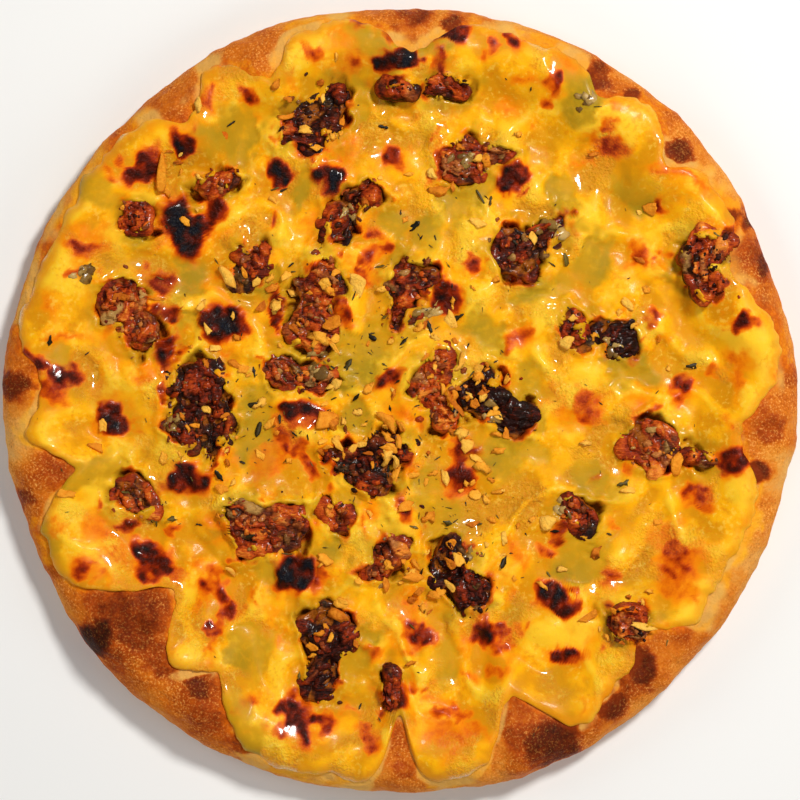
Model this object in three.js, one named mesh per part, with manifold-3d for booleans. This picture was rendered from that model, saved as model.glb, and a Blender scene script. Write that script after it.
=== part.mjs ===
// A baked steak pizza, 28 cm across: a bread crust with a puffed, uneven rim, a sheet of melted
// cheese that laps over the rim between the puffs, clumps of chopped steak set through the cheese,
// and flakes of fried garlic, dried herb and browned cheese blisters fused to what they lie on.
// Millimetres, +Z up. The origin is the centre of the flat underside; +X is to the right and +Y to
// the far side of the pizza as it is seen from above.

import * as THREE from 'three';
import { mergeVertices } from 'three/addons/utils/BufferGeometryUtils.js';
import Module from 'manifold-3d';

const wasm = await Module();
wasm.setup();

// ---------------------------------------------------------------- driving dimensions (mm)

const PIZZA_RADIUS = 140;        // mean outline of the crust
const BASE_THICKNESS = 7;        // bread under the cheese
const RIM_HEIGHT = 19;           // crest of the rim between the puffs
const RIM_WAIST = 8;             // height at which the rim is widest
const RIM_SHOULDER = 13;         // how far the crest lies in from the outline
const RIM_UNDERCUT = 7;          // how far the underside's edge lies in from the outline
const RIM_SLOPE = 23;            // from the crest in to the flat bread
const CHEESE_RADIUS = 134;       // the cheese's edge where no puff holds it back
const CHEESE_LEVEL = 12.5;       // its mean surface inside the rim
const CHEESE_LAP = 2.2;          // its thickness where it lies on the rim
const STEAK_SHOWING = 2.8;       // how far a clump stands above the cheese
const FLAKE_THICKNESS = 1.5;     // a flake of garlic
const HERB_THICKNESS = 0.5;      // half the thickness of a herb leaf, as it lies in a film of oil
const GAP = 0.3;                 // clearance between pieces that touch
const STEAK_FLOOR = BASE_THICKNESS + GAP + 0.1;

const OUTLINE_SIDES = 80;        // facets round the crust
const CHEESE_CELLS = 24;         // cells across the cheese
const OVAL_SIDES = 10;           // facets round a clump or a blister

// Puffs of the rim: where they lie (degrees from +X), how wide they are (degrees), how far they
// push the cheese inwards and how much higher than the rest of the rim they stand (mm).
const PUFFS = [
  { at: -5, spread: 6.5, reach: 13, lift: 1 },
  { at: -28, spread: 15, reach: 5.5, lift: 0 },
  { at: -44, spread: 4.5, reach: 13, lift: 2 },
  { at: -53, spread: 6, reach: 7, lift: 1 },
  { at: -69, spread: 5.5, reach: 24, lift: 2 },
  { at: -90, spread: 2.4, reach: 23, lift: 0 },
  { at: -124, spread: 6, reach: 18, lift: 2 },
  { at: -140, spread: 7.5, reach: 29, lift: 4 },
  { at: -168, spread: 4.5, reach: 16, lift: 2 },
  { at: 178, spread: 5, reach: 9, lift: 0.5 },
  { at: 127, spread: 4.5, reach: 12, lift: 2 },
  { at: 111.5, spread: 4, reach: 10, lift: 1.5 },
  { at: 88, spread: 5, reach: 13, lift: 1 },
  { at: 57, spread: 3.5, reach: 7, lift: 1 },
  { at: 41.5, spread: 3.5, reach: 10, lift: 2 },
  { at: 20, spread: 6, reach: 9, lift: 1 },
];

// Each clump of steak is one to three lumps grown together: where a lump's middle lies, its length
// and width, and the turn of its length from +X in degrees.
const lump = (x, y, length, width, turn) => ({ x, y, length, width, turn });
const STEAK = [
  [lump(-32.8, 95.9, 20.7, 17.9, 20), lump(-23.5, 105.5, 15.2, 11.7, 60)],
  [lump(-64.2, 76.6, 17.9, 9, 15)],
  [lump(-93.8, 64.5, 13.1, 12.4, 70)],
  [lump(-52.8, 47.6, 20.7, 10.3, 58)],
  [lump(-97.3, 34.5, 18.6, 17.2, 110), lump(-91.4, 24.1, 15.9, 14.5, 120)],
  [lump(-13.1, 72.4, 13.8, 9.7, 35), lump(-20.7, 62.4, 16.5, 11.7, 70)],
  [lump(22.4, 84.5, 18.6, 15.2, 10), lump(33.8, 87.3, 13.4, 7.5, 10)],
  [lump(16.5, 111, 17.2, 9.7, 170)],
  [lump(0, 109.6, 10.3, 6.2, 0)],
  [lump(41, 52, 20, 14.5, 120), lump(51.5, 58.5, 16, 10.3, 20)],
  [lump(107.6, 52.4, 17.9, 15.2, 20), lump(107.6, 42, 16, 13.1, 110)],
  [lump(4, 42.1, 20, 15.2, 30), lump(0, 31.5, 15, 9.5, 70)],
  [lump(-28.3, 40.7, 20.7, 16.6, 100), lump(-31, 26.5, 19.3, 17.2, 80)],
  [lump(-41.4, 9.8, 15.2, 12.4, 160), lump(-31, 8, 15, 10.3, 10)],
  [lump(61, 24.5, 15.5, 9.6, 115)],
  [lump(77, 22.1, 16.5, 14.5, 160)],
  [lump(-70.4, 5, 24.8, 16.5, 160), lump(-75, -9, 17.9, 16, 30), lump(-64.5, -10.4, 22, 10, 75)],
  [lump(11.5, 9, 21, 10.3, 60), lump(15, -3.5, 16, 9, 130)],
  [lump(29, 1.6, 17.6, 15.5, 155), lump(39.7, -7, 15, 11.5, 165)],
  [lump(-5.2, -17.2, 18.6, 13.8, 10), lump(-18, -22.5, 18, 12.4, 150), lump(-9, -29, 15.2, 12.5, 20)],
  [lump(-54, -44.2, 22.8, 16.6, 140), lump(-41, -44.8, 15.5, 17.9, 90)],
  [lump(88, -15.2, 20, 17.2, 130)],
  [lump(106, -20, 14, 5, 170)],
  [lump(63.5, -40, 15.5, 9.5, 135)],
  [lump(17.2, -56.8, 17.2, 13.1, 60), lump(25, -67.5, 18.6, 13.8, 110)],
  [lump(-25.9, -82.1, 21.4, 19.3, 80), lump(-28, -97.2, 15, 13.1, 20)],
  [lump(-3.1, -103.5, 15.9, 7.6, 95)],
  [lump(80.7, -78.7, 15.9, 13.1, 160)],
  [lump(-4, -53, 12.5, 11, 50), lump(-8.4, -60.6, 11.5, 8.6, 50)],
  [lump(-94.2, -34.5, 17.9, 13.1, 150)],
  [lump(-22, -40.7, 13.1, 8.6, 130)],
];

// The flakes of garlic that show most, as a lump is given above.
const GARLIC = [
  lump(-84.2, 80, 15.9, 6.2, 92), lump(-26, -7, 11.7, 8.3, 60), lump(-65, 18.2, 6.2, 4.5, 10),
  lump(-48.5, 33, 5.5, 5, 20), lump(88.7, 67.6, 8.3, 4.8, 160), lump(80, 34.5, 8.3, 4.1, 140),
  lump(80.4, -31.7, 7.6, 3.6, 0), lump(51.7, -43.5, 7.6, 6.2, 30), lump(36.6, -48.3, 8.3, 4.1, 110),
  lump(67, -76, 7.6, 4.8, 20), lump(-117.3, -33.1, 10.3, 4.5, 10), lump(24.1, -15.5, 7.6, 6.2, 0),
  lump(-106.9, -16.2, 7.6, 4.8, 160), lump(13.8, 74, 7.6, 4.8, 0), lump(-26, 41, 8, 6, 130),
  lump(-3.2, -16.6, 7.6, 4, 165), lump(-33.5, 95.2, 5.5, 4.5, 0), lump(-98.5, 36.5, 7.6, 5, 0),
  lump(29.5, 3, 5.5, 3.6, 40), lump(79.5, -78.2, 6.9, 3.6, 50), lump(18, -57.5, 6.9, 4.8, 120),
];

// Blisters where the cheese has charred: domes of the given length and width.
const BLISTERS = [
  lump(-79, 60.5, 17, 12, 120), lump(-44.2, 81.8, 8.3, 10.3, 90), lump(-24.8, 79.5, 9, 8, 30),
  lump(-62.1, 27.6, 15.9, 9, 165), lump(-101.4, -7.6, 7.6, 11.7, 80), lump(-37.6, -61.4, 13.8, 12.4, 30),
  lump(-1.4, 120.4, 15.9, 6.2, 175), lump(54.2, -70, 8.3, 13.8, 70), lump(57.6, -91.4, 9, 7.6, 0),
  lump(-34.5, -113.8, 17, 12, 150), lump(-75.9, 91.5, 11, 5.5, 35), lump(-83.5, -51.5, 14, 7.6, 145),
];
const BLISTER_RISE = 1.8;

// The largest of the dried herb leaves.
const HERBS = [
  lump(5.2, 61.4, 5, 2.6, 40), lump(28.3, 71.8, 6, 1.6, 120), lump(58.4, 49.4, 5, 2, 100),
  lump(103.5, 12.1, 5.5, 2, 5), lump(79.4, -29.3, 6, 2, 15), lump(-10.4, 22.4, 5, 2.4, 150),
  lump(-18.3, 12.4, 5, 2, 60), lump(-52.5, -1.7, 5, 2, 20), lump(-50, -10.4, 5.5, 2.2, 75),
  lump(10.4, 25.9, 4.5, 2, 110), lump(20.7, 29.3, 4.5, 1.8, 30), lump(17.3, -43.4, 5, 2, 160),
  lump(36.5, -57.2, 5.5, 2, 65), lump(-80.1, -41.9, 5, 1.8, 10), lump(-63.8, -26.5, 5, 2.2, 125),
  lump(-122.9, 20.7, 4.5, 1.8, 80),
];
const SEED = 20260;

// ---------------------------------------------------------------- small helpers

const radians = THREE.MathUtils.degToRad;

// A seeded generator of numbers from 0 to 1 (mulberry32).
function generator(seed) {
  let state = seed >>> 0;
  return () => {
    state = (state + 0x6d2b79f5) >>> 0;
    let t = state;
    t = Math.imul(t ^ (t >>> 15), t | 1);
    t ^= t + Math.imul(t ^ (t >>> 7), t | 61);
    return ((t ^ (t >>> 14)) >>> 0) / 4294967296;
  };
}

// The larger of two heights, with the corner between them rounded.
function smoothMax(a, b, rounding) {
  return (a + b + Math.hypot(a - b, rounding)) / 2;
}

// ---------------------------------------------------------------- heights and outlines

// What the puffs add at an angle (radians) to the quantity named by key.
function puffed(angle, key) {
  const degrees = THREE.MathUtils.radToDeg(angle);
  return PUFFS.reduce((sum, puff) => {
    const away = THREE.MathUtils.euclideanModulo(degrees - puff.at + 180, 360) - 180;
    return sum + puff[key] * Math.exp(-((away / puff.spread) ** 2));
  }, 0);
}

// The outline is a hand-stretched circle, alike on opposite sides so that it stays centred.
function outlineRadius(angle) {
  return PIZZA_RADIUS + 0.5 * Math.sin(2 * angle + 0.6) + 0.6 * Math.sin(6 * angle + 2.1)
    + 0.4 * Math.sin(10 * angle + 0.9);
}

function rimHeight(angle) {
  return RIM_HEIGHT + puffed(angle, 'lift') + 0.6 * Math.sin(3 * angle + 1.1) + 0.5 * Math.sin(8 * angle);
}

// The inner side of the rim, from its crest at 0 to the flat bread at 1.
function rimSlope(angle) {
  return RIM_SLOPE + 0.75 * puffed(angle, 'reach');
}

function rimFall(angle, t) {
  const fullness = 2 + 0.05 * puffed(angle, 'reach');
  return t >= 1 ? 0 : (1 - t ** fullness) ** 2;
}

// Height of the bread's upper side.
function crustTop(x, y) {
  const angle = Math.atan2(y, x);
  const inward = outlineRadius(angle) - Math.hypot(x, y);
  const height = rimHeight(angle);
  if (inward < RIM_SHOULDER) {
    const across = 1 - Math.max(inward, 0) / RIM_SHOULDER;
    return RIM_WAIST + (height - RIM_WAIST) * Math.sqrt(1 - across ** 2);
  }
  const t = (inward - RIM_SHOULDER) / rimSlope(angle);
  return BASE_THICKNESS + (height - BASE_THICKNESS) * rimFall(angle, t);
}

function cheeseEdge(angle) {
  return CHEESE_RADIUS - puffed(angle, 'reach') + 0.8 * Math.sin(9 * angle) + 0.5 * Math.sin(17 * angle + 2);
}

// Height of the cheese's upper side: level inside the rim with slow waves, lying on the rim outside.
function cheeseTop(x, y) {
  const waves = 0.6 * Math.sin(x / 9 + 1.3) * Math.sin(y / 8 + 0.4) + 0.4 * Math.sin((x + y) / 13 + 2);
  return smoothMax(CHEESE_LEVEL + waves, crustTop(x, y) + CHEESE_LAP, 2);
}

// ---------------------------------------------------------------- solids

function manifoldOf(geometry) {
  const bare = geometry.clone();
  for (const name of ['normal', 'uv']) bare.deleteAttribute(name);
  const merged = mergeVertices(bare, 1e-4);
  return new wasm.Manifold(new wasm.Mesh({
    numProp: 3,
    vertProperties: new Float32Array(merged.getAttribute('position').array),
    triVerts: new Uint32Array(merged.index.array),
  }));
}

function geometryOf(solid) {
  const mesh = solid.getMesh();
  const position = new Float32Array(mesh.numVert * 3);
  for (let i = 0; i < mesh.numVert; i++) {
    position.set(mesh.vertProperties.subarray(i * mesh.numProp, i * mesh.numProp + 3), i * 3);
  }
  const geometry = new THREE.BufferGeometry();
  geometry.setAttribute('position', new THREE.BufferAttribute(position, 3));
  geometry.setIndex(new THREE.BufferAttribute(new Uint32Array(mesh.triVerts), 1));
  geometry.computeVertexNormals();
  return geometry;
}

// The one body that counts: crumbs that the openings cut off are left out.
function largestBody(solid) {
  return solid.decompose().sort((a, b) => b.volume() - a.volume())[0];
}

function indexedGeometry(points, faces) {
  const geometry = new THREE.BufferGeometry();
  geometry.setAttribute('position', new THREE.Float32BufferAttribute(points.flat(), 3));
  geometry.setIndex(faces.flat());
  return geometry;
}

// The crust as rings round the axis, from the middle of the underside to the middle of the top.
// raised lifts the whole upper side, which makes the cutter that the other pieces are cleared with.
function crustGeometry(raised = 0) {
  const rings = [];
  const addRing = (place) => {
    rings.push(Array.from({ length: OUTLINE_SIDES }, (_, i) => {
      const angle = (i / OUTLINE_SIDES) * 2 * Math.PI;
      const [radius, z] = place(angle);
      return [radius * Math.cos(angle), radius * Math.sin(angle), z];
    }));
  };
  for (const roll of [-90, -50, -20]) {
    const [c, s] = [Math.cos(radians(roll)), Math.sin(radians(roll))];
    addRing((angle) => [outlineRadius(angle) + raised - RIM_UNDERCUT * (1 - c), RIM_WAIST * (1 + s) - raised]);
  }
  for (const roll of [0, 30, 60, 90]) {
    const [c, s] = [Math.cos(radians(roll)), Math.sin(radians(roll))];
    addRing((angle) => [
      outlineRadius(angle) + raised * c - RIM_SHOULDER * (1 - c),
      RIM_WAIST + (rimHeight(angle) - RIM_WAIST) * s + raised,
    ]);
  }
  for (const t of [0.25, 0.5, 0.75, 1]) {
    addRing((angle) => [
      outlineRadius(angle) - RIM_SHOULDER - t * rimSlope(angle),
      BASE_THICKNESS + (rimHeight(angle) - BASE_THICKNESS) * rimFall(angle, t) + raised,
    ]);
  }
  const points = [...rings.flat(), [0, 0, -raised], [0, 0, BASE_THICKNESS + raised]];
  const underside = points.length - 2;
  const middle = points.length - 1;
  const last = (rings.length - 1) * OUTLINE_SIDES;
  const faces = [];
  for (let i = 0; i < OUTLINE_SIDES; i++) {
    const next = (i + 1) % OUTLINE_SIDES;
    faces.push([underside, next, i], [middle, last + i, last + next]);
    for (let ring = 0; ring < rings.length - 1; ring++) {
      const [a, b] = [ring * OUTLINE_SIDES, (ring + 1) * OUTLINE_SIDES];
      faces.push([a + i, a + next, b + next], [a + i, b + next, b + i]);
    }
  }
  return indexedGeometry(points, faces);
}

// A square grid's point (u, v from -1 to 1) carried onto the disc of the cheese, whose outermost
// cells follow the cheese's edge.
function cheesePoint(u, v) {
  if (u === 0 && v === 0) return [0, 0];
  const sideways = Math.abs(u) > Math.abs(v);
  const reach = sideways ? u : v;
  const turn = sideways ? (Math.PI / 4) * (v / u) : Math.PI / 2 - (Math.PI / 4) * (u / v);
  const [x, y] = [reach * Math.cos(turn), reach * Math.sin(turn)];
  const angle = Math.atan2(y, x);
  const share = Math.abs(reach);
  const radius = CHEESE_RADIUS * share + (cheeseEdge(angle) - CHEESE_RADIUS) * share ** 4;
  return [radius * Math.cos(angle), radius * Math.sin(angle)];
}

// The cheese before anything is cut from it: its upper side, and a floor inside the bread.
function cheeseBlock() {
  const points = [];
  const count = CHEESE_CELLS + 1;
  for (const upper of [true, false]) {
    for (let j = 0; j < count; j++) {
      for (let i = 0; i < count; i++) {
        const [x, y] = cheesePoint((2 * i) / CHEESE_CELLS - 1, (2 * j) / CHEESE_CELLS - 1);
        points.push([x, y, upper ? cheeseTop(x, y) : BASE_THICKNESS / 2]);
      }
    }
  }
  const at = (i, j, layer) => layer * count * count + j * count + i;
  const faces = [];
  for (let j = 0; j < CHEESE_CELLS; j++) {
    for (let i = 0; i < CHEESE_CELLS; i++) {
      const [a, b, c, d] = [[i, j], [i + 1, j], [i + 1, j + 1], [i, j + 1]];
      faces.push([at(...a, 0), at(...b, 0), at(...c, 0)], [at(...a, 0), at(...c, 0), at(...d, 0)]);
      faces.push([at(...a, 1), at(...c, 1), at(...b, 1)], [at(...a, 1), at(...d, 1), at(...c, 1)]);
    }
  }
  const wall = (i0, j0, i1, j1) => {
    faces.push([at(i0, j0, 1), at(i1, j1, 1), at(i1, j1, 0)], [at(i0, j0, 1), at(i1, j1, 0), at(i0, j0, 0)]);
  };
  for (let k = 0; k < CHEESE_CELLS; k++) {
    wall(k, 0, k + 1, 0);
    wall(CHEESE_CELLS, k, CHEESE_CELLS, k + 1);
    wall(k + 1, CHEESE_CELLS, k, CHEESE_CELLS);
    wall(0, k + 1, 0, k);
  }
  return manifoldOf(indexedGeometry(points, faces));
}

// A body of stacked rings that all follow one wavy oval: each ring is a share of the oval and a
// height, and the last height is that of the tip in the middle. grow widens the oval all round.
function ovalSolid({ x, y, length, width, turn }, rings, tip, grow = 0) {
  const points = [];
  for (const [share, height] of rings) {
    for (let i = 0; i < OVAL_SIDES; i++) {
      const angle = (i / OVAL_SIDES) * 2 * Math.PI;
      const wave = 1 + 0.07 * Math.sin(3 * angle + x) + 0.05 * Math.sin(4 * angle + y);
      const along = (length * 0.5 * wave * share + grow) * Math.cos(angle);
      const beside = (width * 0.5 * wave * share + grow) * Math.sin(angle);
      const knob = share < 1 ? 0.5 * Math.sin(3 * i + x + y) : 0;
      points.push([along, beside, height + knob]);
    }
  }
  points.push([0, 0, rings[0][1]], [0, 0, tip]);
  const faces = [];
  const last = (rings.length - 1) * OVAL_SIDES;
  for (let i = 0; i < OVAL_SIDES; i++) {
    const next = (i + 1) % OVAL_SIDES;
    faces.push([points.length - 2, next, i], [points.length - 1, last + i, last + next]);
    for (let ring = 0; ring < rings.length - 1; ring++) {
      const [low, high] = [ring * OVAL_SIDES, (ring + 1) * OVAL_SIDES];
      faces.push([low + i, low + next, high + next], [low + i, high + next, high + i]);
    }
  }
  return manifoldOf(indexedGeometry(points, faces).rotateZ(radians(turn)).translate(x, y, 0));
}

// A clump of steak: its lumps stand on the bread, fill the cheese and crown a little above it, and
// the flakes of garlic that lie wholly on a lump are part of it.
function clumpSolid(lumps) {
  const draw = generator(SEED);
  return lumps
    .map((one) => {
      const level = cheeseTop(one.x, one.y);
      const rings = [[1, STEAK_FLOOR], [1, level + 0.2], [0.7, level + 0.8 * STEAK_SHOWING]];
      const flakes = GARLIC
        .filter((flake) => ovalShare(one, flake.x, flake.y, -flake.length / 2) < 1)
        .map((flake) => flakeSolid(flake, draw, level + 0.9 * STEAK_SHOWING));
      return flakes.reduce((whole, flake) => whole.add(flake), ovalSolid(one, rings, level + STEAK_SHOWING));
    })
    .reduce((whole, one) => whole.add(one));
}

// The opening that the cheese leaves for a clump of steak.
function clumpOpening(lumps) {
  return lumps
    .map((one) => {
      const ceiling = cheeseTop(one.x, one.y) + 2 * STEAK_SHOWING;
      return ovalSolid(one, [[1, 0], [1, ceiling]], ceiling, 1.5 * GAP);
    })
    .reduce((whole, one) => whole.add(one));
}

// A low dome of browned cheese.
function blisterSolid(blister) {
  const level = cheeseTop(blister.x, blister.y);
  const rings = [[1.15, level - BLISTER_RISE], [0.65, level + 0.8 * BLISTER_RISE]];
  return ovalSolid(blister, rings, level + BLISTER_RISE);
}

// A thin chip with an uneven outline of seven corners, half sunk at a height.
function flakeSolid({ x, y, length, width, turn }, draw, height) {
  const corners = 7;
  const shape = new THREE.Shape(Array.from({ length: corners }, (_, i) => {
    const angle = (i / corners) * 2 * Math.PI;
    const radius = 0.5 * (0.85 + 0.3 * draw());
    return new THREE.Vector2(length * radius * Math.cos(angle), width * radius * Math.sin(angle));
  }));
  const geometry = new THREE.ExtrudeGeometry(shape, { depth: FLAKE_THICKNESS, bevelEnabled: false });
  geometry.translate(0, 0, -FLAKE_THICKNESS * 0.4).rotateZ(radians(turn));
  geometry.rotateX(0.2 * (draw() - 0.5)).rotateY(0.2 * (draw() - 0.5));
  geometry.translate(x, y, height);
  return manifoldOf(geometry);
}

// A dried herb leaf: a thin strip that narrows to both ends, folded along its middle.
function leafSolid({ x, y, length, width, turn }, height) {
  const stations = [0.3, 0.7];
  const fold = length * 0.08;
  const across = [[-width / 2, fold], [0, 0], [width / 2, fold]];
  const face = (lift) => [
    [-length / 2, 0, lift],
    ...stations.flatMap((t) => across.map(([w, rise]) => [(t - 0.5) * length, w, rise + lift])),
    [length / 2, 0, lift + fold],
  ];
  const points = [...face(HERB_THICKNESS), ...face(-HERB_THICKNESS)];
  const top = [[0, 2, 1], [0, 3, 2], [1, 2, 5], [1, 5, 4], [2, 3, 6], [2, 6, 5], [4, 5, 7], [5, 6, 7]];
  const rim = [0, 1, 4, 7, 6, 3];
  const below = points.length / 2;
  const faces = top.flatMap(([a, b, c]) => [[a, c, b], [a + below, b + below, c + below]]);
  rim.forEach((a, i) => {
    const b = rim[(i + 1) % rim.length];
    faces.push([b, a, a + below], [b, a + below, b + below]);
  });
  return manifoldOf(indexedGeometry(points, faces).rotateZ(radians(turn)).translate(x, y, height));
}

// How far a place lies from an oval's middle, as a share of the way to its edge moved out by margin.
function ovalShare(one, x, y, margin) {
  const turn = radians(one.turn);
  const along = (x - one.x) * Math.cos(turn) + (y - one.y) * Math.sin(turn);
  const beside = (y - one.y) * Math.cos(turn) - (x - one.x) * Math.sin(turn);
  const reach = (size) => Math.max(size / 2 + margin, 0.01);
  return Math.hypot(along / reach(one.length), beside / reach(one.width));
}

// True where a round thing of the given radius stays clear of every clump of steak.
function clearOfSteak(x, y, radius) {
  return STEAK.flat().every((one) => ovalShare(one, x, y, radius + 1) > 1);
}

// ---------------------------------------------------------------- the pieces

const clearOfCrust = manifoldOf(crustGeometry(GAP));

// The cheese with what is fused to it. A flake or leaf that would touch a clump of steak isn't on it.
function cheeseSolid() {
  const draw = generator(SEED);
  const clear = (one) => clearOfSteak(one.x, one.y, one.length / 2);
  let cheese = cheeseBlock();
  for (const blister of BLISTERS) cheese = cheese.add(blisterSolid(blister));
  for (const clump of STEAK) cheese = cheese.subtract(clumpOpening(clump));
  for (const flake of GARLIC.filter(clear)) {
    cheese = cheese.add(flakeSolid(flake, draw, cheeseTop(flake.x, flake.y)));
  }
  for (const leaf of HERBS.filter(clear)) {
    cheese = cheese.add(leafSolid(leaf, cheeseTop(leaf.x, leaf.y) + 0.3));
  }
  return largestBody(cheese.subtract(clearOfCrust));
}

function material(name, color, roughness) {
  return new THREE.MeshStandardMaterial({ name, color, roughness, metalness: 0 });
}

const CRUST_BROWN = material('crust', 0xb9742c, 0.8);
const CHEESE_YELLOW = material('cheese', 0xf5b01c, 0.4);
const STEAK_BROWN = material('steak', 0x6b2c12, 0.5);

function addPiece(group, name, geometry, finish) {
  const mesh = new THREE.Mesh(geometry, finish);
  mesh.name = name;
  group.add(mesh);
}

const pizza = new THREE.Group();
addPiece(pizza, 'crust', crustGeometry(), CRUST_BROWN);
addPiece(pizza, 'cheese', geometryOf(cheeseSolid()), CHEESE_YELLOW);
STEAK.forEach((clump, i) => {
  const solid = clumpSolid(clump).subtract(clearOfCrust);
  addPiece(pizza, `steak_${String(i + 1).padStart(2, '0')}`, geometryOf(solid), STEAK_BROWN);
});

export default pizza;
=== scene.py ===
"""The looks of a baked steak pizza, 28 cm across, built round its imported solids.

The crust and the cheese are modelled again as fine surfaces from the same heights as the solids,
each clump of steak is its own solid remeshed and roughened, and the loose shreds of meat, the bits
of onion, the flakes of garlic and the herbs are laid on whatever is under them. Sizes are in
millimetres until a mesh is made.
"""

import math

import bmesh
import bpy
import numpy as np
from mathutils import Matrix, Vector, noise
from mathutils.bvhtree import BVHTree


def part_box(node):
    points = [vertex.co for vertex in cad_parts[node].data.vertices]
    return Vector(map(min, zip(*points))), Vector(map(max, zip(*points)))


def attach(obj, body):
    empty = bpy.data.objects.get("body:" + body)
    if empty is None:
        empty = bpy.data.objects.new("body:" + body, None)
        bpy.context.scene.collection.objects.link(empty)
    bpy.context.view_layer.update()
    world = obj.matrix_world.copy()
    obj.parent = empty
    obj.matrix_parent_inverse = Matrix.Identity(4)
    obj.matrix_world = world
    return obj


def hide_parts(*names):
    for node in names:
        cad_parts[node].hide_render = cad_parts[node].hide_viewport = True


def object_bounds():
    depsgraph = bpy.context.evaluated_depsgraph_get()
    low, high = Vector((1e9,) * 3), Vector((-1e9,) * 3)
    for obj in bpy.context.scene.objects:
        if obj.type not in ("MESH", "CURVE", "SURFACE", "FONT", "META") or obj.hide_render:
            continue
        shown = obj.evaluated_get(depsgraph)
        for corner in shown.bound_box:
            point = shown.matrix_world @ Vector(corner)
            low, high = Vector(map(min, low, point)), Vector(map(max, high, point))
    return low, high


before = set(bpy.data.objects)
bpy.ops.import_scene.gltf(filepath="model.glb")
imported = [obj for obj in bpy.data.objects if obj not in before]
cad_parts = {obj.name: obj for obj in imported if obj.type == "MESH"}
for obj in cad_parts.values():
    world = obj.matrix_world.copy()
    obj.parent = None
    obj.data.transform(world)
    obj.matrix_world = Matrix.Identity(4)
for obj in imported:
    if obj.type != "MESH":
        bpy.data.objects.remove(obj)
cad_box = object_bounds()

MM = 0.001

# ---- the pizza's sizes, in mm

PIZZA_RADIUS = 140
BASE_THICKNESS = 7
RIM_HEIGHT = 19
RIM_WAIST = 8
RIM_SHOULDER = 13
RIM_UNDERCUT = 7
RIM_SLOPE = 23
CHEESE_RADIUS = 134
CHEESE_LEVEL = 12.5
CHEESE_LAP = 2.2

# Puffs of the rim: angle from +X and spread in degrees, reach inwards and lift in mm.
PUFFS = [
    (-5, 6.5, 13, 1), (-28, 15, 5.5, 0), (-44, 4.5, 13, 2), (-53, 6, 7, 1), (-69, 5.5, 24, 2),
    (-90, 2.4, 23, 0), (-124, 6, 18, 2), (-140, 7.5, 29, 4), (-168, 4.5, 16, 2), (178, 5, 9, 0.5),
    (127, 4.5, 12, 2), (111.5, 4, 10, 1.5), (88, 5, 13, 1), (57, 3.5, 7, 1), (41.5, 3.5, 10, 2),
    (20, 6, 9, 1),
]

# Charred and browned places of the cheese, by how burnt they are: x, y, length, width and turn. A turn
# is in degrees, and 0 where it is left out, here and in the next three lists.
CHARS = {
    1.0: [
        (-75.9, 61.4, 20.7, 13, 120), (-44.2, 81.8, 8.3, 10.3, 90), (-24.8, 79.5, 10.3, 8.3, 30),
        (-62.1, 27.6, 15.9, 10.3, 165), (-37.6, -61.4, 13.8, 12.4, 30), (-1.4, 120.4, 15.9, 6.2, 175),
    ],
    0.9: [
        (-101.4, -7.6, 7.6, 11.7, 80), (40, 78.3, 9.7, 9), (-75.6, -29.3, 13.8, 7.6),
        (54.2, -70, 8.3, 13.8, 70), (57.6, -91.4, 9, 7.6), (30, -82.8, 9, 8.3), (-34.5, -4.1, 13.1, 6.2),
        (-75.9, 90.4, 11, 5.5, 35),
    ],
    0.85: [
        (-81.1, 17.2, 10.3, 6.9, 40), (-36, -112, 17, 8, 115), (-91.1, 81.8, 12.4, 8.3, 30),
        (-3.8, 7.6, 6.2, 11, 110), (118, 28.6, 6.2, 5.5), (-87.3, -55.9, 15.9, 8.3, 145),
        (22.4, -25.5, 6, 7), (-4.5, -52, 8, 7), (17, 130, 10, 8), (15, 36, 9, 15),
    ],
    0.8: [
        (-66, 66, 12, 6, 55), (-119.4, 7.9, 10.3, 7.6, 40), (-66.6, -81.1, 5.5, 5.5), (-2, -104, 12, 7, 95),
        (40.4, 127, 5, 5), (-30.5, 45.5, 6, 4, 60), (25.5, 47.6, 7, 3.5, 130), (92.5, 68.5, 4, 4),
        (0.5, -38, 4, 4), (-95, -43, 7, 4), (119, -21, 15, 6),
    ],
    0.78: [
        (-29, -113.5, 13, 5.5, 10),
    ],
    0.75: [
        (6.2, -82.8, 9, 7.6), (-52.4, 105.9, 5, 5), (-1.5, 111, 7, 4), (53.5, 111, 5, 5),
        (-1.7, -125, 4, 5), (-128, 13, 5, 12, 60), (-43, 33, 4, 16),
    ],
    0.72: [
        (-1.7, 85.6, 8, 7), (-6.5, 53, 5, 4), (-61.5, -74, 6, 6), (-84, 42, 8, 8),
    ],
    0.7: [
        (-64.9, -67.3, 11.7, 9, 125), (104.2, -33.5, 9, 6.9), (100.4, 5.5, 6.9, 6.2), (2, 129, 14, 7),
        (-83, 30, 8, 8), (57, -47, 8, 9), (24, -18, 12, 7, 150),
    ],
    0.65: [
        (-109.7, 54.2, 12, 5), (-17.2, 117.3, 6, 5), (32, 125, 5, 5), (-12, 44, 5, 5),
        (-111.5, -57.5, 8, 7), (-11, 50, 6, 7), (-22, 32, 5, 16), (-27, -62, 6, 9),
    ],
    0.62: [
        (13, 118, 7, 16), (-42, -14, 10, 5, 120),
    ],
    0.6: [
        (88.3, 27.6, 4.8, 7.6, 100), (-31, 123, 8, 6), (73, 89, 11, 8, 160), (41.4, 23.5, 5, 6),
        (84.5, 51.8, 6, 8), (20.5, -31, 10, 9), (50, -53, 5, 4), (97.3, -55, 13, 13), (73, -62, 6, 5),
        (17.3, -111.5, 12, 5), (-10, -119, 5, 9), (-10, -88.5, 6, 5), (-12, 131, 9, 5, 20),
        (-124, 2, 5, 12, 90), (-34, -17, 10, 6, 20), (-31, -22, 4, 8), (-67, 106, 3.5, 8), (29, -70, 6, 14),
    ],
    0.55: [
        (65, -3.5, 13, 12), (34.5, -96, 5, 4), (-54, -107, 7, 5),
    ],
}

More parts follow.
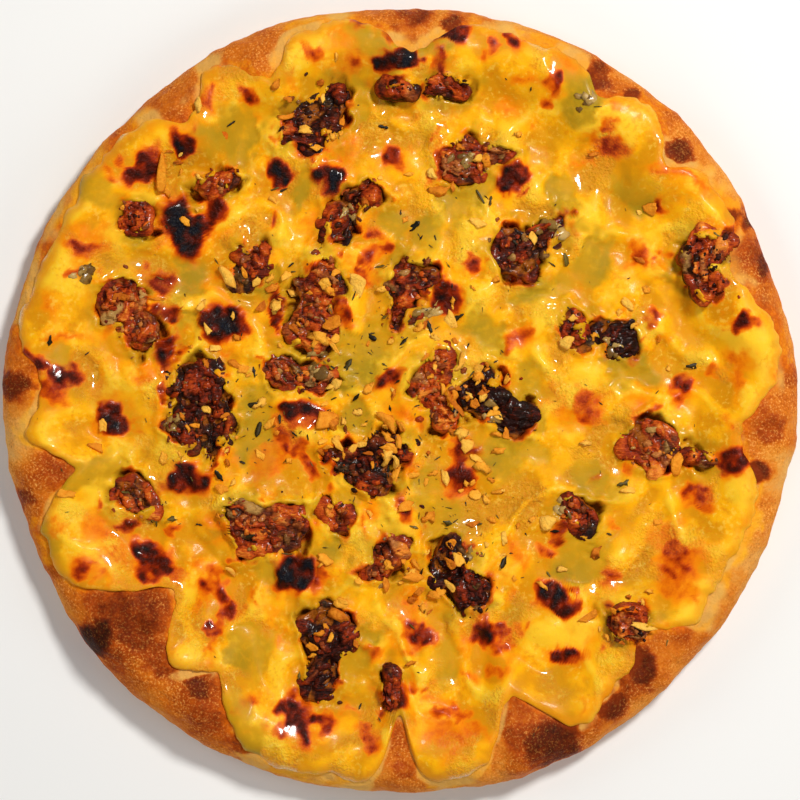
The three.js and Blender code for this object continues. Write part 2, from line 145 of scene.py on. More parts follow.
# Places where the cheese is only a warmer orange: x, y, length, width, turn.
WARM = [
    (-63.8, -44.9, 14, 16), (-45.5, -19, 30, 16, 70), (-12, 45, 12, 9), (4, -6, 18, 7, 135),
    (-12, -43, 16, 5, 100), (41, -53.5, 14, 6, 100), (39.7, -69, 8, 7), (84.5, 0, 10, 8),
    (99, 79, 26, 10, 155), (112, 57, 14, 8, 90), (45, 112, 16, 6), (66, 84, 8, 6), (-124, 33, 12, 8, 90),
    (-117, 22, 18, 4), (-103.5, 26, 10, 6, 90), (-46.5, 57, 10, 6, 90), (-50, 95, 6, 6), (-60, 17, 9, 6),
    (-90, 10, 12, 8), (-105, -44, 14, 12), (-71, -57, 8, 8), (-53, -69, 14, 5, 100), (-46.6, -81, 6, 6),
    (12, -107, 8, 6), (17, -122, 9, 9), (-17, -110, 14, 7), (-41, -86, 10, 5, 90), (5, -60, 12, 6),
    (12, -69, 8, 6, 90), (-25, 66, 10, 8), (60, 60, 14, 9, 120), (100, -60, 26, 16, 60), (20, -118, 26, 12),
    (-60, 120, 18, 6, 20), (-14, 122, 14, 6, 160), (118, 10, 20, 8, 90),
]

# Places where the cheese has melted clear, olive pools: x, y, length, width, turn.
POOLS = [
    (-58.6, 93.2, 17, 15, 30), (-106.3, 72.5, 18, 6, 145), (-34.5, 76.6, 5, 16, 170),
    (24.2, 72.5, 19, 12, 40), (-9, 22, 21, 13, 15), (-18, 12, 17, 16, 60), (4, 26, 12, 6, 20),
    (-16, -7, 10, 9), (-52, -8.6, 27, 10, 72), (46.6, 0, 21, 9, 100), (36, -19, 18, 15), (48.3, -17, 8, 5),
    (12, -41.5, 12, 12), (8.6, -29, 6, 11), (63.8, -57, 15, 15, 45), (67.3, -29.3, 15, 12, 150),
    (81, 10.4, 21, 9, 160), (-108.7, -26, 21, 7, 20), (-47.6, -59.3, 15, 5, 145),
    (-55.2, -115.6, 24, 8, 115), (-53.5, -88, 12, 15), (16.2, -91.4, 9, 14), (-15.5, -95, 8, 12, 160),
    (13.8, 123.5, 12, 7), (-9.7, 126, 12, 5, 150), (-14.8, 104.2, 6, 12), (3.5, 106.3, 14, 4),
    (64.5, 105.2, 8, 10), (-74.2, 44.2, 8, 12, 30), (-44.9, 43.1, 5, 14, 160), (-1.7, 62, 10, 7),
    (9.3, 60.4, 5, 9), (29.3, 24.2, 10, 8), (-126, -48.3, 7, 14, 20), (-25.9, -52.4, 6, 8, 150),
    (-10.4, -82, 8, 5, 150), (57.6, 72.5, 9, 14, 20), (82.8, 71.8, 14, 7, 150), (69, 48.3, 8, 17),
    (48.3, 38, 20, 4, 20), (-77, 27, 7, 7), (-118, 15.5, 7, 4),
]

# Wrinkled, glistening places of the cheese: x, y, length, width, turn.
GLINTS = [
    (28, 88, 26, 12, 20), (52, 62, 34, 14, 130), (70, 84, 22, 12, 60), (20, 56, 14, 10), (66, -24, 14, 20),
    (-54, -84, 14, 28), (14, -96, 10, 18), (42, -36, 16, 14, 30), (-112, 10, 12, 18), (-52, 62, 12, 14),
    (84, -8, 24, 12), (-60, -36, 14, 8), (40, -78, 14, 14), (92, -48, 18, 14), (-10, 96, 12, 14),
]

# Dark places of the rim: x, y, across, how brown.
RIM_TOASTS = [
    (-93, -77, 34, 0.78), (-82, -90, 22, 0.7), (-104, -70, 18, 0.66), (-107, -83, 17, 1.0),
    (98, 88, 12, 0.85), (117, 64, 11, 0.8), (128, 46, 12, 0.6), (72.5, 112, 9, 0.7), (81, 108, 8, 0.8),
    (54, -120, 24, 0.9), (42, -118, 18, 0.68), (82, -88, 11, 0.85), (80, -97, 13, 0.7),
    (-54, -120, 14, 0.7), (-66, -112, 10, 0.7), (74, -109, 12, 0.85), (-71, -101, 13, 0.85),
    (-84, -95, 9, 0.6), (-81, 105, 20, 0.5), (-46, 126, 18, 0.5), (0, -130, 14, 0.6), (84, -98, 16, 0.65),
    (131, -10, 16, 0.65), (6, 134, 16, 0.75), (5, 126, 12, 0.6), (126, 52, 16, 0.7), (-128, -28, 13, 0.55),
    (20, 133, 16, 0.6), (17.9, 133, 10, 0.8), (85, -95, 15, 0.88), (127, -24, 9, 0.85), (123, 62, 11, 0.9),
    (129, 49, 9, 0.85), (-137, 5, 14, 0.82), (-133, -33, 12, 0.75), (70, 114, 12, 0.75),
    (-63, 116, 12, 0.6), (138, 8, 10, 0.6), (-120, -60, 14, 0.6),
]
# Where the rim is palest: x, y, across.
RIM_LIGHTS = [(121, -66, 44), (-116, 78, 30), (133, -30, 26), (-30, -134, 40), (-134, -14, 18)]

# Flakes of fried garlic: x, y, length, width, turn.
GARLIC = [
    (-84.2, 80, 15.9, 6.2, 92), (-26, -7, 11.7, 8.3, 60), (-65, 18.2, 6.2, 4.5, 10),
    (-48.5, 33, 5.5, 5, 20), (88.7, 67.6, 8.3, 4.8, 160), (80, 34.5, 8.3, 4.1, 140),
    (80.4, -31.7, 7.6, 3.6, 0), (51.7, -43.5, 7.6, 6.2, 30), (36.6, -48.3, 8.3, 4.1, 110),
    (67, -76, 7.6, 4.8, 20), (-117.3, -33.1, 10.3, 4.5, 10), (24.1, -15.5, 7.6, 6.2, 0),
    (-106.9, -16.2, 7.6, 4.8, 160), (13.8, 74, 7.6, 4.8, 0), (-26, 41, 8, 6, 130),
    (-3.2, -16.6, 7.6, 4, 165), (-33.5, 95.2, 5.5, 4.5, 0), (-98.5, 36.5, 7.6, 5, 0),
    (29.5, 3, 5.5, 3.6, 40), (79.5, -78.2, 6.9, 3.6, 50), (18, -57.5, 6.9, 4.8, 120),
    (-24.1, 19.7, 13.1, 2.4, 120), (-14.4, 41.4, 9.7, 8.3, 130), (-60.4, 43.5, 9, 6.2, 140),
    (-43.8, 32.8, 4.1, 4.1, 60), (58.6, 20, 9, 5.5, 20), (97.6, -22.4, 9, 5.5, 70),
    (-20.7, -71.8, 6.9, 5.5, 20), (-30.4, -86.9, 5.5, 3.1, 160), (84.5, -79.3, 13.1, 3.4, 175),
    (13.8, -67.6, 6.9, 4.8, 120), (7.2, -67.3, 6.2, 4.1, 30), (-4.8, -7.2, 9.7, 4.8, 130),
    (-1.4, -25.9, 8.3, 4.1, 65), (21.7, 13.1, 6.9, 3.1, 70), (27.6, 10.3, 6.2, 4.5, 40),
    (38.6, 7.6, 6.9, 3.4, 50), (19, -1, 10.3, 3.1, 125), (-104.5, -8.6, 8.3, 3.8, 80),
    (-70.4, 103.5, 6.2, 3.4, 100), (-20.7, 97.3, 7.6, 3.4, 80), (-6.9, 39, 7.6, 3.4, 0),
    (-84.5, 35.5, 8.3, 1.7, 3), (-75.5, 63, 5.5, 4, 20), (61, 29, 5, 3.6, 30),
]

# Where the smaller flakes gather: x, y, spread, how many.
GARLIC_CLUSTERS = [
    (-22, -8, 11, 18), (-5, -20, 12, 20), (22, 6, 12, 20), (-35, 35, 14, 15), (-66, 18, 8, 6),
    (80, -78, 9, 9), (34, -42, 10, 13), (-82, 78, 12, 8), (-30, 95, 14, 10), (-68, -18, 12, 10),
    (14, 78, 12, 8), (85, 30, 14, 8), (10, -66, 12, 9), (-25, -80, 10, 6), (0, 0, 62, 80),
]

# The largest leaves of dried herb, then where the small ones gather.
HERBS = [
    (5.2, 61.4, 5, 2.6, 40), (28.3, 71.8, 6, 1.6, 120), (58.4, 49.4, 5, 2, 100), (103.5, 12.1, 5.5, 2, 5),
    (79.4, -29.3, 6, 2, 15), (-10.4, 22.4, 5, 2.4, 150), (-18.3, 12.4, 5, 2, 60), (-52.5, -1.7, 5, 2, 20),
    (-50, -10.4, 5.5, 2.2, 75), (10.4, 25.9, 4.5, 2, 110), (20.7, 29.3, 4.5, 1.8, 30),
    (17.3, -43.4, 5, 2, 160), (36.5, -57.2, 5.5, 2, 65), (-80.1, -41.9, 5, 1.8, 10),
    (-63.8, -26.5, 5, 2.2, 125), (-122.9, 20.7, 4.5, 1.8, 80),
]
HERB_CLUSTERS = [
    (-10, 22, 9, 18), (-52, -6, 10, 24), (30, -50, 14, 28), (-30, -10, 14, 24), (0, -25, 16, 24),
    (18, 8, 14, 20), (-86, -34, 12, 18), (-5, 30, 16, 18), (0, 0, 60, 190), (0, 0, 95, 100),
]

# Bits of soft onion and fat in and beside the steak: x, y, length, width, turn.
ONIONS = [
    (-110, 44.8, 8, 6, 60), (53.5, 60.4, 9, 7, 20), (57, -39.7, 7, 4.5, 130), (-27.6, 12, 9, 6, 20),
    (-81, -8.6, 7, 5, 40), (24.1, -53.5, 6, 4.5, 70), (65.5, 104, 7, 8, 100), (24, 86, 7, 6, 30),
    (-20, 66, 6, 5, 60), (10, 31, 12, 4, 15), (31, -4.5, 7, 5, 150), (74, 18, 7, 6, 20),
]

# How much lighter a clump of steak is than most, by its number, and how red some are.
TONES = {
    1: -0.2, 2: 0.15, 3: -0.08, 4: 0.02, 5: 0.22, 6: -0.08, 7: 0.16, 8: -0.1, 9: -0.36, 11: -0.36, 13: 0.15,
    14: 0.18, 15: -0.04, 16: -0.56, 17: -0.18, 18: 0.26, 19: -0.55, 20: -0.16, 21: 0.1, 22: 0.24, 23: -0.05,
    24: -0.08, 25: -0.33, 26: -0.18, 27: -0.18, 28: -0.3, 29: 0.16, 30: 0.22, 31: 0.24,
}
REDS = {3: 0.3, 12: 0.25, 18: 0.35, 27: 0.4, 26: 0.2, 29: 0.2}

SEED = 4207
VOXEL = 0.6              # how finely the steak is remeshed
BUBBLE_COUNT = 90        # small domes on the rim
GARLIC_REACH = 128       # no flake lies further out than this
HERB_REACH = 130         # and no leaf further than this
SKY = 60                 # a height above everything, to look down from
EYE_HEIGHT = 1200        # of the camera over the floor
FRAME_WIDTH = 282.3      # what the camera sees at the cheese's level
FLOOR_REACH = 3000       # from the middle to each side
FLOOR_LEVEL = -0.2       # just below the crust
INSET = 0.05             # how far the fine surfaces keep inside the solids' box


# ---- noise and masks


def noise_at(points, size, seed=0):
    """Smooth noise from about -1 to 1 at an N by 3 array of points, with features about size across."""
    return np.array([noise.noise(point) for point in (points / size + 13.7 * seed).tolist()])


def layered(points, size, layers, seed=0):
    """Noise of several sizes, each half as large and half as strong as the last."""
    return sum(noise_at(points, size / 2**k, seed + k) / 2**k for k in range(layers))


def creased(points, size, seed=0):
    """Rounded lumps with sharp creases between them, about 0 to 1."""
    return np.minimum(2.2 * np.abs(noise_at(points, size, seed)), 1.2)


def cells_at(points, size, seed=0):
    """How far each point is from the nearest of many scattered middles, about 0 to 1."""
    return np.array([noise.voronoi(point)[0][0] for point in (points / size + 5.3 * seed).tolist()])


def chunks_at(points, size, seed=0):
    """The chunk each point falls in: how far from its border, and two chances of its own, all 0 to 1."""
    found = [noise.voronoi(point) for point in (points / size + 5.3 * seed).tolist()]
    border = np.array([distances[1] - distances[0] for distances, _ in found])
    middles = np.array([middle[0][:] for _, middle in found])
    chances = [
        np.modf(np.abs(np.sin(middles @ direction)) * stretch)[0]
        for direction, stretch in (((12.99, 78.23, 37.72), 43.76), ((39.35, 11.14, 83.16), 24.63))
    ]
    return np.minimum(border, 1), *chances


def smooth_step(low, high, value):
    """0 where the value is at low, 1 where it is at high, and a soft step between."""
    t = np.clip((value - low) / (high - low), 0, 1)
    return t * t * (3 - 2 * t)


def smooth_max(a, b, rounding):
    """The larger of two, with a rounded corner where they cross."""
    return (a + b + np.hypot(a - b, rounding)) / 2


def flat_points(x, y):
    return np.column_stack([x, y, 0 * x])


def along_and_beside(x, y, turn):
    """Places measured along a direction, turned by an angle in radians from +X, and beside it."""
    return x * math.cos(turn) + y * math.sin(turn), y * math.cos(turn) - x * math.sin(turn)


def oval_gap(x, y, middle_x, middle_y, length, width, turn=0):
    """The distance in mm from an oval's edge, negative inside it."""
    along, beside = along_and_beside(x - middle_x, y - middle_y, math.radians(turn))
    share = np.maximum(np.hypot(along / (length / 2), beside / (width / 2)), 1e-3)
    return (1 - 1 / share) * np.hypot(along, beside)


# ---- heights and outlines


def puffed(angle, quantity):
    """What the puffs add at an angle in radians: quantity 2 is their reach and 3 their lift."""
    total = np.zeros_like(angle)
    for puff in PUFFS:
        away = (np.degrees(angle) - puff[0] + 180) % 360 - 180
        total += puff[quantity] * np.exp(-((away / puff[1]) ** 2))
    return total


def outline_radius(angle):
    return (
        PIZZA_RADIUS
        + 0.5 * np.sin(2 * angle + 0.6)
        + 0.6 * np.sin(6 * angle + 2.1)
        + 0.4 * np.sin(10 * angle + 0.9)
    )


def rim_height(angle):
    return RIM_HEIGHT + puffed(angle, 3) + 0.6 * np.sin(3 * angle + 1.1) + 0.5 * np.sin(8 * angle)


def rim_slope(angle):
    return RIM_SLOPE + 0.75 * puffed(angle, 2)


def rim_fall(angle, t):
    """How much of the rim's height is left at t of its slope, fuller where it puffs."""
    fullness = 2 + 0.05 * puffed(angle, 2)
    return (1 - np.clip(t, 0, 1) ** fullness) ** 2


def slope_height(angle, t):
    """Height of the bread from the rim's shoulder, t = 0, down to the flat middle, t = 1."""
    return BASE_THICKNESS + (rim_height(angle) - BASE_THICKNESS) * rim_fall(angle, t)


def crust_top(x, y):
    """Height of the bread's upper side."""
    angle = np.arctan2(y, x)
    inward = np.maximum(outline_radius(angle) - np.hypot(x, y), 0)
    across = 1 - np.minimum(inward / RIM_SHOULDER, 1)
    shoulder = RIM_WAIST + (rim_height(angle) - RIM_WAIST) * np.sqrt(1 - across**2)
    slope = slope_height(angle, (inward - RIM_SHOULDER) / rim_slope(angle))
    return np.where(inward < RIM_SHOULDER, shoulder, slope)


def cheese_edge(angle):
    return (
        CHEESE_RADIUS
        - puffed(angle, 2)
        + 0.8 * np.sin(9 * angle)
        + 0.5 * np.sin(17 * angle + 2)
    )


def ragged_cheese_edge(angle):
    """The cheese's edge with its small runs and bays."""
    round_points = np.column_stack([np.cos(angle), np.sin(angle), 0 * angle]) * CHEESE_RADIUS
    runs = 2.3 * noise_at(round_points, 9, 3) + 1.2 * noise_at(round_points, 3.5, 4)
    return cheese_edge(angle) + 1.2 * np.exp(-puffed(angle, 2) / 3) + runs


def cheese_level(x, y):
    waves = 0.6 * np.sin(x / 9 + 1.3) * np.sin(y / 8 + 0.4) + 0.4 * np.sin((x + y) / 13 + 2)
    return CHEESE_LEVEL + waves


# ---- meshes


def make_piece(name, points, faces, masks, material):
    """A smooth mesh piece from points in mm, with a number per point for each named mask."""
    mesh = bpy.data.meshes.new(name)
    mesh.from_pydata((np.asarray(points) * MM).tolist(), [], faces)
    mesh.polygons.foreach_set("use_smooth", np.ones(len(mesh.polygons), bool))
    for mask, values in masks.items():
        attribute = mesh.attributes.new(mask, "FLOAT", "POINT")
        attribute.data.foreach_set("value", np.asarray(values, np.float32))
    mesh.update()
    mesh.materials.append(material)
    piece = bpy.data.objects.new(name, mesh)
    bpy.context.scene.collection.objects.link(piece)
    return piece


def strips(rows, columns):
    """Quads between rows of points that each close on themselves."""
    faces = []
    for row in range(rows - 1):
        for i in range(columns):
            j = (i + 1) % columns
            low, high = row * columns, (row + 1) * columns
            faces.append((low + i, low + j, high + j, high + i))
    return faces


def fan(middle, first, columns):
    """Triangles from a middle point to a ring of points that starts at first."""
    return [(middle, first + i, first + (i + 1) % columns) for i in range(columns)]


def turned(faces):
    """The same faces looking the other way."""
    return [face[::-1] for face in faces]


def shifted(faces, first):
    """The same faces of points that are counted on from first."""
    return [tuple(i + first for i in face) for face in faces]


def mesh_arrays(mesh):
    """A mesh's points in mm and its faces."""
    points = np.empty(len(mesh.vertices) * 3)
    mesh.vertices.foreach_get("co", points)
    return points.reshape(-1, 3) / MM, [tuple(polygon.vertices) for polygon in mesh.polygons]


def inner_box():
    """The solids' lowest and highest corner in mm, drawn in a little at the sides and the top."""
    low, high = (np.array(corner) / MM for corner in cad_box)
    return low + (INSET, INSET, 0), high - INSET


def surface_tree(objects):
    """The surfaces of some objects, to be searched in mm."""
    points, faces = [], []
    for thing in objects:
        more_points, more_faces = mesh_arrays(thing.data)
        faces += shifted(more_faces, len(points))
        points += more_points.tolist()
    return BVHTree.FromPolygons(points, faces)


def ground(tree, x, y):
    """Height of the highest surface at a place; None where there is none."""
    hit = tree.ray_cast(Vector((x, y, SKY)), Vector((0, 0, -1)))[0]
    return hit.z if hit else None


# ---- crust

CRUST_COLUMNS = 800


def crust_rows(angle):
    """The crust's profile at each angle, from the edge of its underside over the rim to the middle."""
    outline, height, slope = outline_radius(angle), rim_height(angle), rim_slope(angle)
    rows = []
    for roll in np.radians(np.linspace(-90, 0, 12)):
        inward = RIM_UNDERCUT * (1 - math.cos(roll))
        rows.append((outline - inward, RIM_WAIST * (1 + math.sin(roll)) + 0 * angle))
    for roll in np.radians(np.linspace(0, 90, 28)[1:]):
        inward = RIM_SHOULDER * (1 - math.cos(roll))
        rows.append((outline - inward, RIM_WAIST + (height - RIM_WAIST) * math.sin(roll)))
    for t in np.linspace(0, 1, 40)[1:]:
        rows.append((outline - RIM_SHOULDER - t * slope, slope_height(angle, t)))
    return rows


def crust_piece():
    angle = np.linspace(0, 2 * math.pi, CRUST_COLUMNS, endpoint=False)
    rows = crust_rows(angle)
    grid = np.array([np.column_stack([r * np.cos(angle), r * np.sin(angle), z]) for r, z in rows])
    around = np.roll(grid, -1, axis=1) - np.roll(grid, 1, axis=1)
    outward = np.cross(around, np.gradient(grid, axis=0))
    outward /= np.linalg.norm(outward, axis=2, keepdims=True) + 1e-9
    points, outward = grid.reshape(-1, 3), outward.reshape(-1, 3)
    relief = 0.9 * layered(points, 15, 2, 1) + 0.38 * layered(points, 5, 2, 5)
    relief = relief + 0.1 * noise_at(points, 1.7, 9) + crust_bubbles(points)
    free = smooth_step(0.2, 5, points[:, 2])
    points = points + outward * (relief * free - 0.5 * free)[:, None]
    points = np.clip(points, *inner_box())
    count = len(points)
    points = np.vstack([points, [[0, 0, 0], [0, 0, BASE_THICKNESS]]])
    faces = strips(len(rows), CRUST_COLUMNS)
    faces += turned(fan(count, 0, CRUST_COLUMNS))
    faces += fan(count + 1, count - CRUST_COLUMNS, CRUST_COLUMNS)
    return make_piece("crust_bread", points, faces, crust_masks(points, relief), crust_material())


def crust_bubbles(points):
    """Small domes that the oven raised on the rim."""
    draw = np.random.default_rng(SEED + 1)
    total = np.zeros(len(points))
    for _ in range(BUBBLE_COUNT):
        angle = draw.uniform(0, 2 * math.pi)
        inward = draw.uniform(1, 30)
        size = draw.uniform(2.5, 8)
        radius = outline_radius(np.array([angle]))[0] - inward
        middle = np.array([radius * math.cos(angle), radius * math.sin(angle)])
        gap = np.hypot(points[:, 0] - middle[0], points[:, 1] - middle[1]) / size
        total += 0.16 * size * np.exp(-(gap**2) * 2.5)
    return np.minimum(total, 1.6)


def crust_masks(points, relief):
    """How brown each point of the crust is, how pale and moist, and how much cheese baked onto it."""
    x, y, z = points.T
    angle = np.arctan2(y, x)
    drift = 4.0 * layered(points, 9, 3, 21)
    toast = 0.42 + 0.2 * layered(points, 22, 3, 31) + 0.02 * (z - 14)
    toast += 0.05 * np.append(relief, [0, 0])

    def spot(middle_x, middle_y, across):
        gap = np.hypot(x - middle_x, y - middle_y) + drift
        return smooth_step(across * 0.75, across * 0.2, gap)

    for place in RIM_LIGHTS:
        toast -= 0.2 * spot(*place)
    for *place, brown in RIM_TOASTS:
        toast = np.maximum(toast, brown * spot(*place) * (0.4 + 0.6 * smooth_step(3, 12, z)))
    underside = smooth_step(3, 0, z)
    toast = toast * (1 - underside) + underside * (0.45 + 0.3 * layered(points, 25, 3, 41))
    beside = np.hypot(x, y) - ragged_cheese_edge(angle)
    patchy = smooth_step(-0.35, 0.45, layered(points, 20, 3, 23))
    reach = 0.8 + 4.5 * patchy
    pale = np.exp(-((np.maximum(beside + 0.3 * drift, 0) / reach) ** 2)) * (z > 9) * (0.1 + 0.8 * patchy)
    pale *= smooth_step(0.75, 0.5, toast)
    bare = np.minimum(puffed(angle, 2) / 7, 1)
    baked_on = smooth_step(-0.45, 0.35, layered(points, 11, 3, 25) - 0.9 * bare) * smooth_step(6, 10, z)
    close = 0.7 * smooth_step(6, 0.5, beside + 0.6 * drift)
    baked_on = np.maximum(baked_on * smooth_step(11, 3, beside), close) * smooth_step(9, 14, z)
    return {"toast": toast, "pale": pale, "baked_on": baked_on}


# ---- cheese

CHEESE_CELLS = 300
SPECK_COUNT = 90         # small chars, anywhere on the cheese
LIP_WIDTH = 2.0          # how far the cheese's raised lip stands back from a clump of steak
EDGE_ROLL = 4.5          # how wide the cheese's rounded edge is
UNDERSIDE_RINGS = (1, 0.985, 0.95, 0.9, 0.84, 0.78)
SUNK = 0.7               # how deep its underside lies in the bread


def disc_grid(cells):
    """A square grid carried onto a disc: each point's angle, and its share of the way to the edge."""
    line = np.linspace(-1, 1, cells + 1)
    u, v = (part.ravel() for part in np.meshgrid(line, line))
    sideways = np.abs(u) > np.abs(v)
    reach = np.where(sideways, u, v)
    other = np.where(sideways, v, u)
    ratio = other / np.where(reach == 0, 1, reach)
    turn = np.where(sideways, math.pi / 4 * ratio, math.pi / 2 - math.pi / 4 * ratio)
    x, y = reach * np.cos(turn), reach * np.sin(turn)
    return np.arctan2(y, x), np.abs(reach)


def steak_gap(tree, x, y):
    """The distance in mm from the nearest clump of steak, negative inside one, up to reach away."""
    reach = 9.0
    wall = np.maximum(cheese_level(x, y), crust_top(x, y) + CHEESE_LAP) - 1.5
    gaps = np.full(len(x), reach)
    for i, place in enumerate(np.column_stack([x, y, wall]).tolist()):
        distance = tree.find_nearest(place, reach)[3]
        if distance is not None:
            gaps[i] = distance if ground(tree, *place[:2]) is None else -distance
    return gaps


def steak_tops(tree, x, y):
    """Height of the steak's upper side, 0 where there is none."""
    return np.array([ground(tree, *place) or 0 for place in np.column_stack([x, y]).tolist()])


def cheese_masks(x, y, gap):
    """How toasted and how clear the cheese is at each point."""
    flat = flat_points(x, y)
    drift_x, drift_y = (4.0 * layered(flat, 8, 3, seed) for seed in (51, 52))

    def away_from(oval):
        return oval_gap(x + drift_x, y + drift_y, *oval)

    toast = 0.34 * smooth_step(0.0, 0.8, layered(flat, 17, 3, 61))
    for oval in WARM:
        toast = np.maximum(toast, 0.4 * smooth_step(4.5, -5.5, away_from(oval)))
    side = layered(flat, 9, 2, 64)
    toast = np.maximum(toast, 0.6 * smooth_step(4.0, 0.5, gap) * smooth_step(-0.15, 0.4, side))
    broken = 0.8 + 0.7 * layered(flat, 3.2, 2, 67)
    fray = 2.0 * layered(flat, 4.5, 2, 68)
    draw = np.random.default_rng(SEED + 2)
    chars = [(*oval, burnt) for burnt, ovals in CHARS.items() for oval in ovals]
    for _ in range(SPECK_COUNT):
        place, size = draw.uniform(-122, 122, 2), draw.uniform(1.5, 4.5, 2)
        chars.append((*place, *size, draw.uniform(0, 180), draw.uniform(0.35, 0.7)))
    for *oval, burnt in chars:
        away = away_from(oval) + 0.1
        core = broken / (1 + np.exp(np.clip(1.8 * away, -30, 30)))
        halo = np.exp(-((np.maximum(away + fray, 0) / (1.4 + 0.11 * oval[2])) ** 2))
        toast = np.maximum(toast, burnt * (0.45 * core + 0.55 * halo))
    pool = np.zeros(len(x))
    torn = 1.8 * layered(flat, 4, 2, 74)
    softness = 2.5 + 5 * smooth_step(-0.2, 0.3, noise_at(flat, 11, 76))
    for oval in POOLS:
        pool = np.maximum(pool, smooth_step(softness, -0.8, away_from(oval) + torn))
    pool = np.maximum(pool, 0.35 * smooth_step(0.25, 0.6, layered(flat, 24, 3, 71)))
    pool = np.maximum(pool, 0.8 * smooth_step(7.5, 1.0, gap + torn) * smooth_step(0.25, -0.25, side))
    pool *= 1 - smooth_step(0.35, 0.65, toast)
    return toast, pool


def glint_mask(x, y, flat):
    """Where the cheese's skin has wrinkled and glistens."""
    mask = 0.8 * smooth_step(0.15, 0.45, layered(flat, 16, 3, 78))
    fray = 8 * noise_at(flat, 6, 79)
    for oval in GLINTS:
        mask = np.maximum(mask, smooth_step(3, -3, oval_gap(x, y, *oval) + fray))
    return mask


def cheese_lumps(flat):
    """The cheese's swells, ridges and small lumps, above 0 and below."""
    ridge = np.exp(-((layered(flat, 27, 2, 141) / 0.17) ** 2))
    lumps = 1.5 * layered(flat, 21, 2, 91) + 1.2 * (creased(flat, 14, 94) - 0.45) + 1.7 * (ridge - 0.35)
    lumps += 0.9 * noise_at(flat, 6, 95) + 0.2 * noise_at(flat, 3, 99)
    return lumps


def cheese_piece(meat_tree):
    angle, share = disc_grid(CHEESE_CELLS)
    edge = ragged_cheese_edge(angle)
    radius = CHEESE_RADIUS * share + (edge - CHEESE_RADIUS) * share**4
    x, y = radius * np.cos(angle), radius * np.sin(angle)
    flat = flat_points(x, y)
    warp = [5.5 * layered(flat, 8, 3, seed) for seed in (81, 82)]
    gap = steak_gap(meat_tree, x + warp[0], y + warp[1]) - 0.1
    toast, pool = cheese_masks(x, y, gap)

    bread = crust_top(x, y)
    to_edge = np.maximum(edge - radius, 0)
    swell = (1 - (1 - np.minimum(to_edge / EDGE_ROLL, 1)) ** 2) ** 0.7
    lumps = cheese_lumps(flat)
    calm = 1 - 0.8 * pool
    blistered = smooth_step(0.45, 0.9, toast)
    relief = lumps * calm - 0.9 * pool + blistered
    crackle = 0.45 * (0.6 - cells_at(flat, 1.9, 1)) * smooth_step(0.6, 0.95, toast)
    lip = 1.5 * np.exp(-(((gap - LIP_WIDTH) / 2.2) ** 2))
    crinkle = glint_mask(x, y, flat) * (1 - pool)
    depth = 0.9 + 2.4 * smooth_step(-0.35, 0.35, layered(flat, 12, 2, 97))
    drop = depth * (1 - np.sqrt(1 - np.clip(1 - gap / 1.8, 0, 1) ** 2)) + 4 * smooth_step(0.3, -2.4, gap)
    inside = cheese_level(x, y) + relief + lip + crackle + 0.25 * crinkle * noise_at(flat, 2.4, 98)
    lap = 1.3 + 0.4 * lumps * calm + 0.3 * blistered
    on_rim = bread + np.maximum(lap, 0.5) * swell
    draped = (steak_tops(meat_tree, x, y) + 1.1 + 0.3 * lumps) * smooth_step(-0.3, 0.9, gap)
    top = np.maximum(smooth_max(inside, on_rim, 1.6 * swell), draped) - drop * swell
    top = np.maximum(top, bread + 0.1)

    points, faces = cheese_body(x, y, top)
    masks = {
        # rise: how high the lumps stand, which the material paints as shade low down and highlight on the
        # ridges
        "rise": smooth_step(-2.2, 2.2, lumps),
        "border": np.exp(-((to_edge / EDGE_ROLL) ** 2)),
        "toast": toast,
        "pool": pool,
        # crevice_shade: painted shade, darker where the cheese drops into the crevice beside the steak
        "crevice_shade": smooth_step(1.3, -0.7, gap),
        "crinkle": crinkle,
    }
    hidden = np.zeros(len(points) - len(x))
    masks = {name: np.append(values, hidden) for name, values in masks.items()}
    return make_piece("cheese_melted", points, faces, masks, cheese_material())


def cheese_body(x, y, top):
    """The cheese's points and faces: its upper side, closed by rings that sink into the bread."""
    loop = border_loop(CHEESE_CELLS)
    sides = len(loop)
    rings = [np.column_stack([x, y, top])]
    for part in UNDERSIDE_RINGS:
        ring_x, ring_y = x[loop] * part, y[loop] * part
        rings.append(np.column_stack([ring_x, ring_y, crust_top(ring_x, ring_y) - SUNK]))
    rings.append(np.array([[0, 0, BASE_THICKNESS - SUNK]]))
    below = len(x)
    faces = grid_faces(CHEESE_CELLS)
    for i in range(sides):
        j = (i + 1) % sides
        faces.append((int(loop[j]), int(loop[i]), below + i, below + j))
    last = len(UNDERSIDE_RINGS) - 1
    faces += shifted(turned(strips(last + 1, sides)), below)
    faces += shifted(turned(fan((last + 1) * sides, last * sides, sides)), below)
    return np.vstack(rings), faces


def grid_faces(cells):
    """Quads between a square grid's points."""
    corners = [row * (cells + 1) + i for row in range(cells) for i in range(cells)]
    return [(a, a + 1, a + cells + 2, a + cells + 1) for a in corners]


def border_loop(cells):
    """The grid's border points in order, from above against the clock."""
    count = cells + 1
    low = list(range(cells))
    right = [cells + j * count for j in range(cells)]
    high = [cells * count + i for i in range(cells, 0, -1)]
    left = [j * count for j in range(cells, 0, -1)]
    return np.array(low + right + high + left)


# ---- steak

STEAK_NODES = sorted(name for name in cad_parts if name.startswith("steak_"))


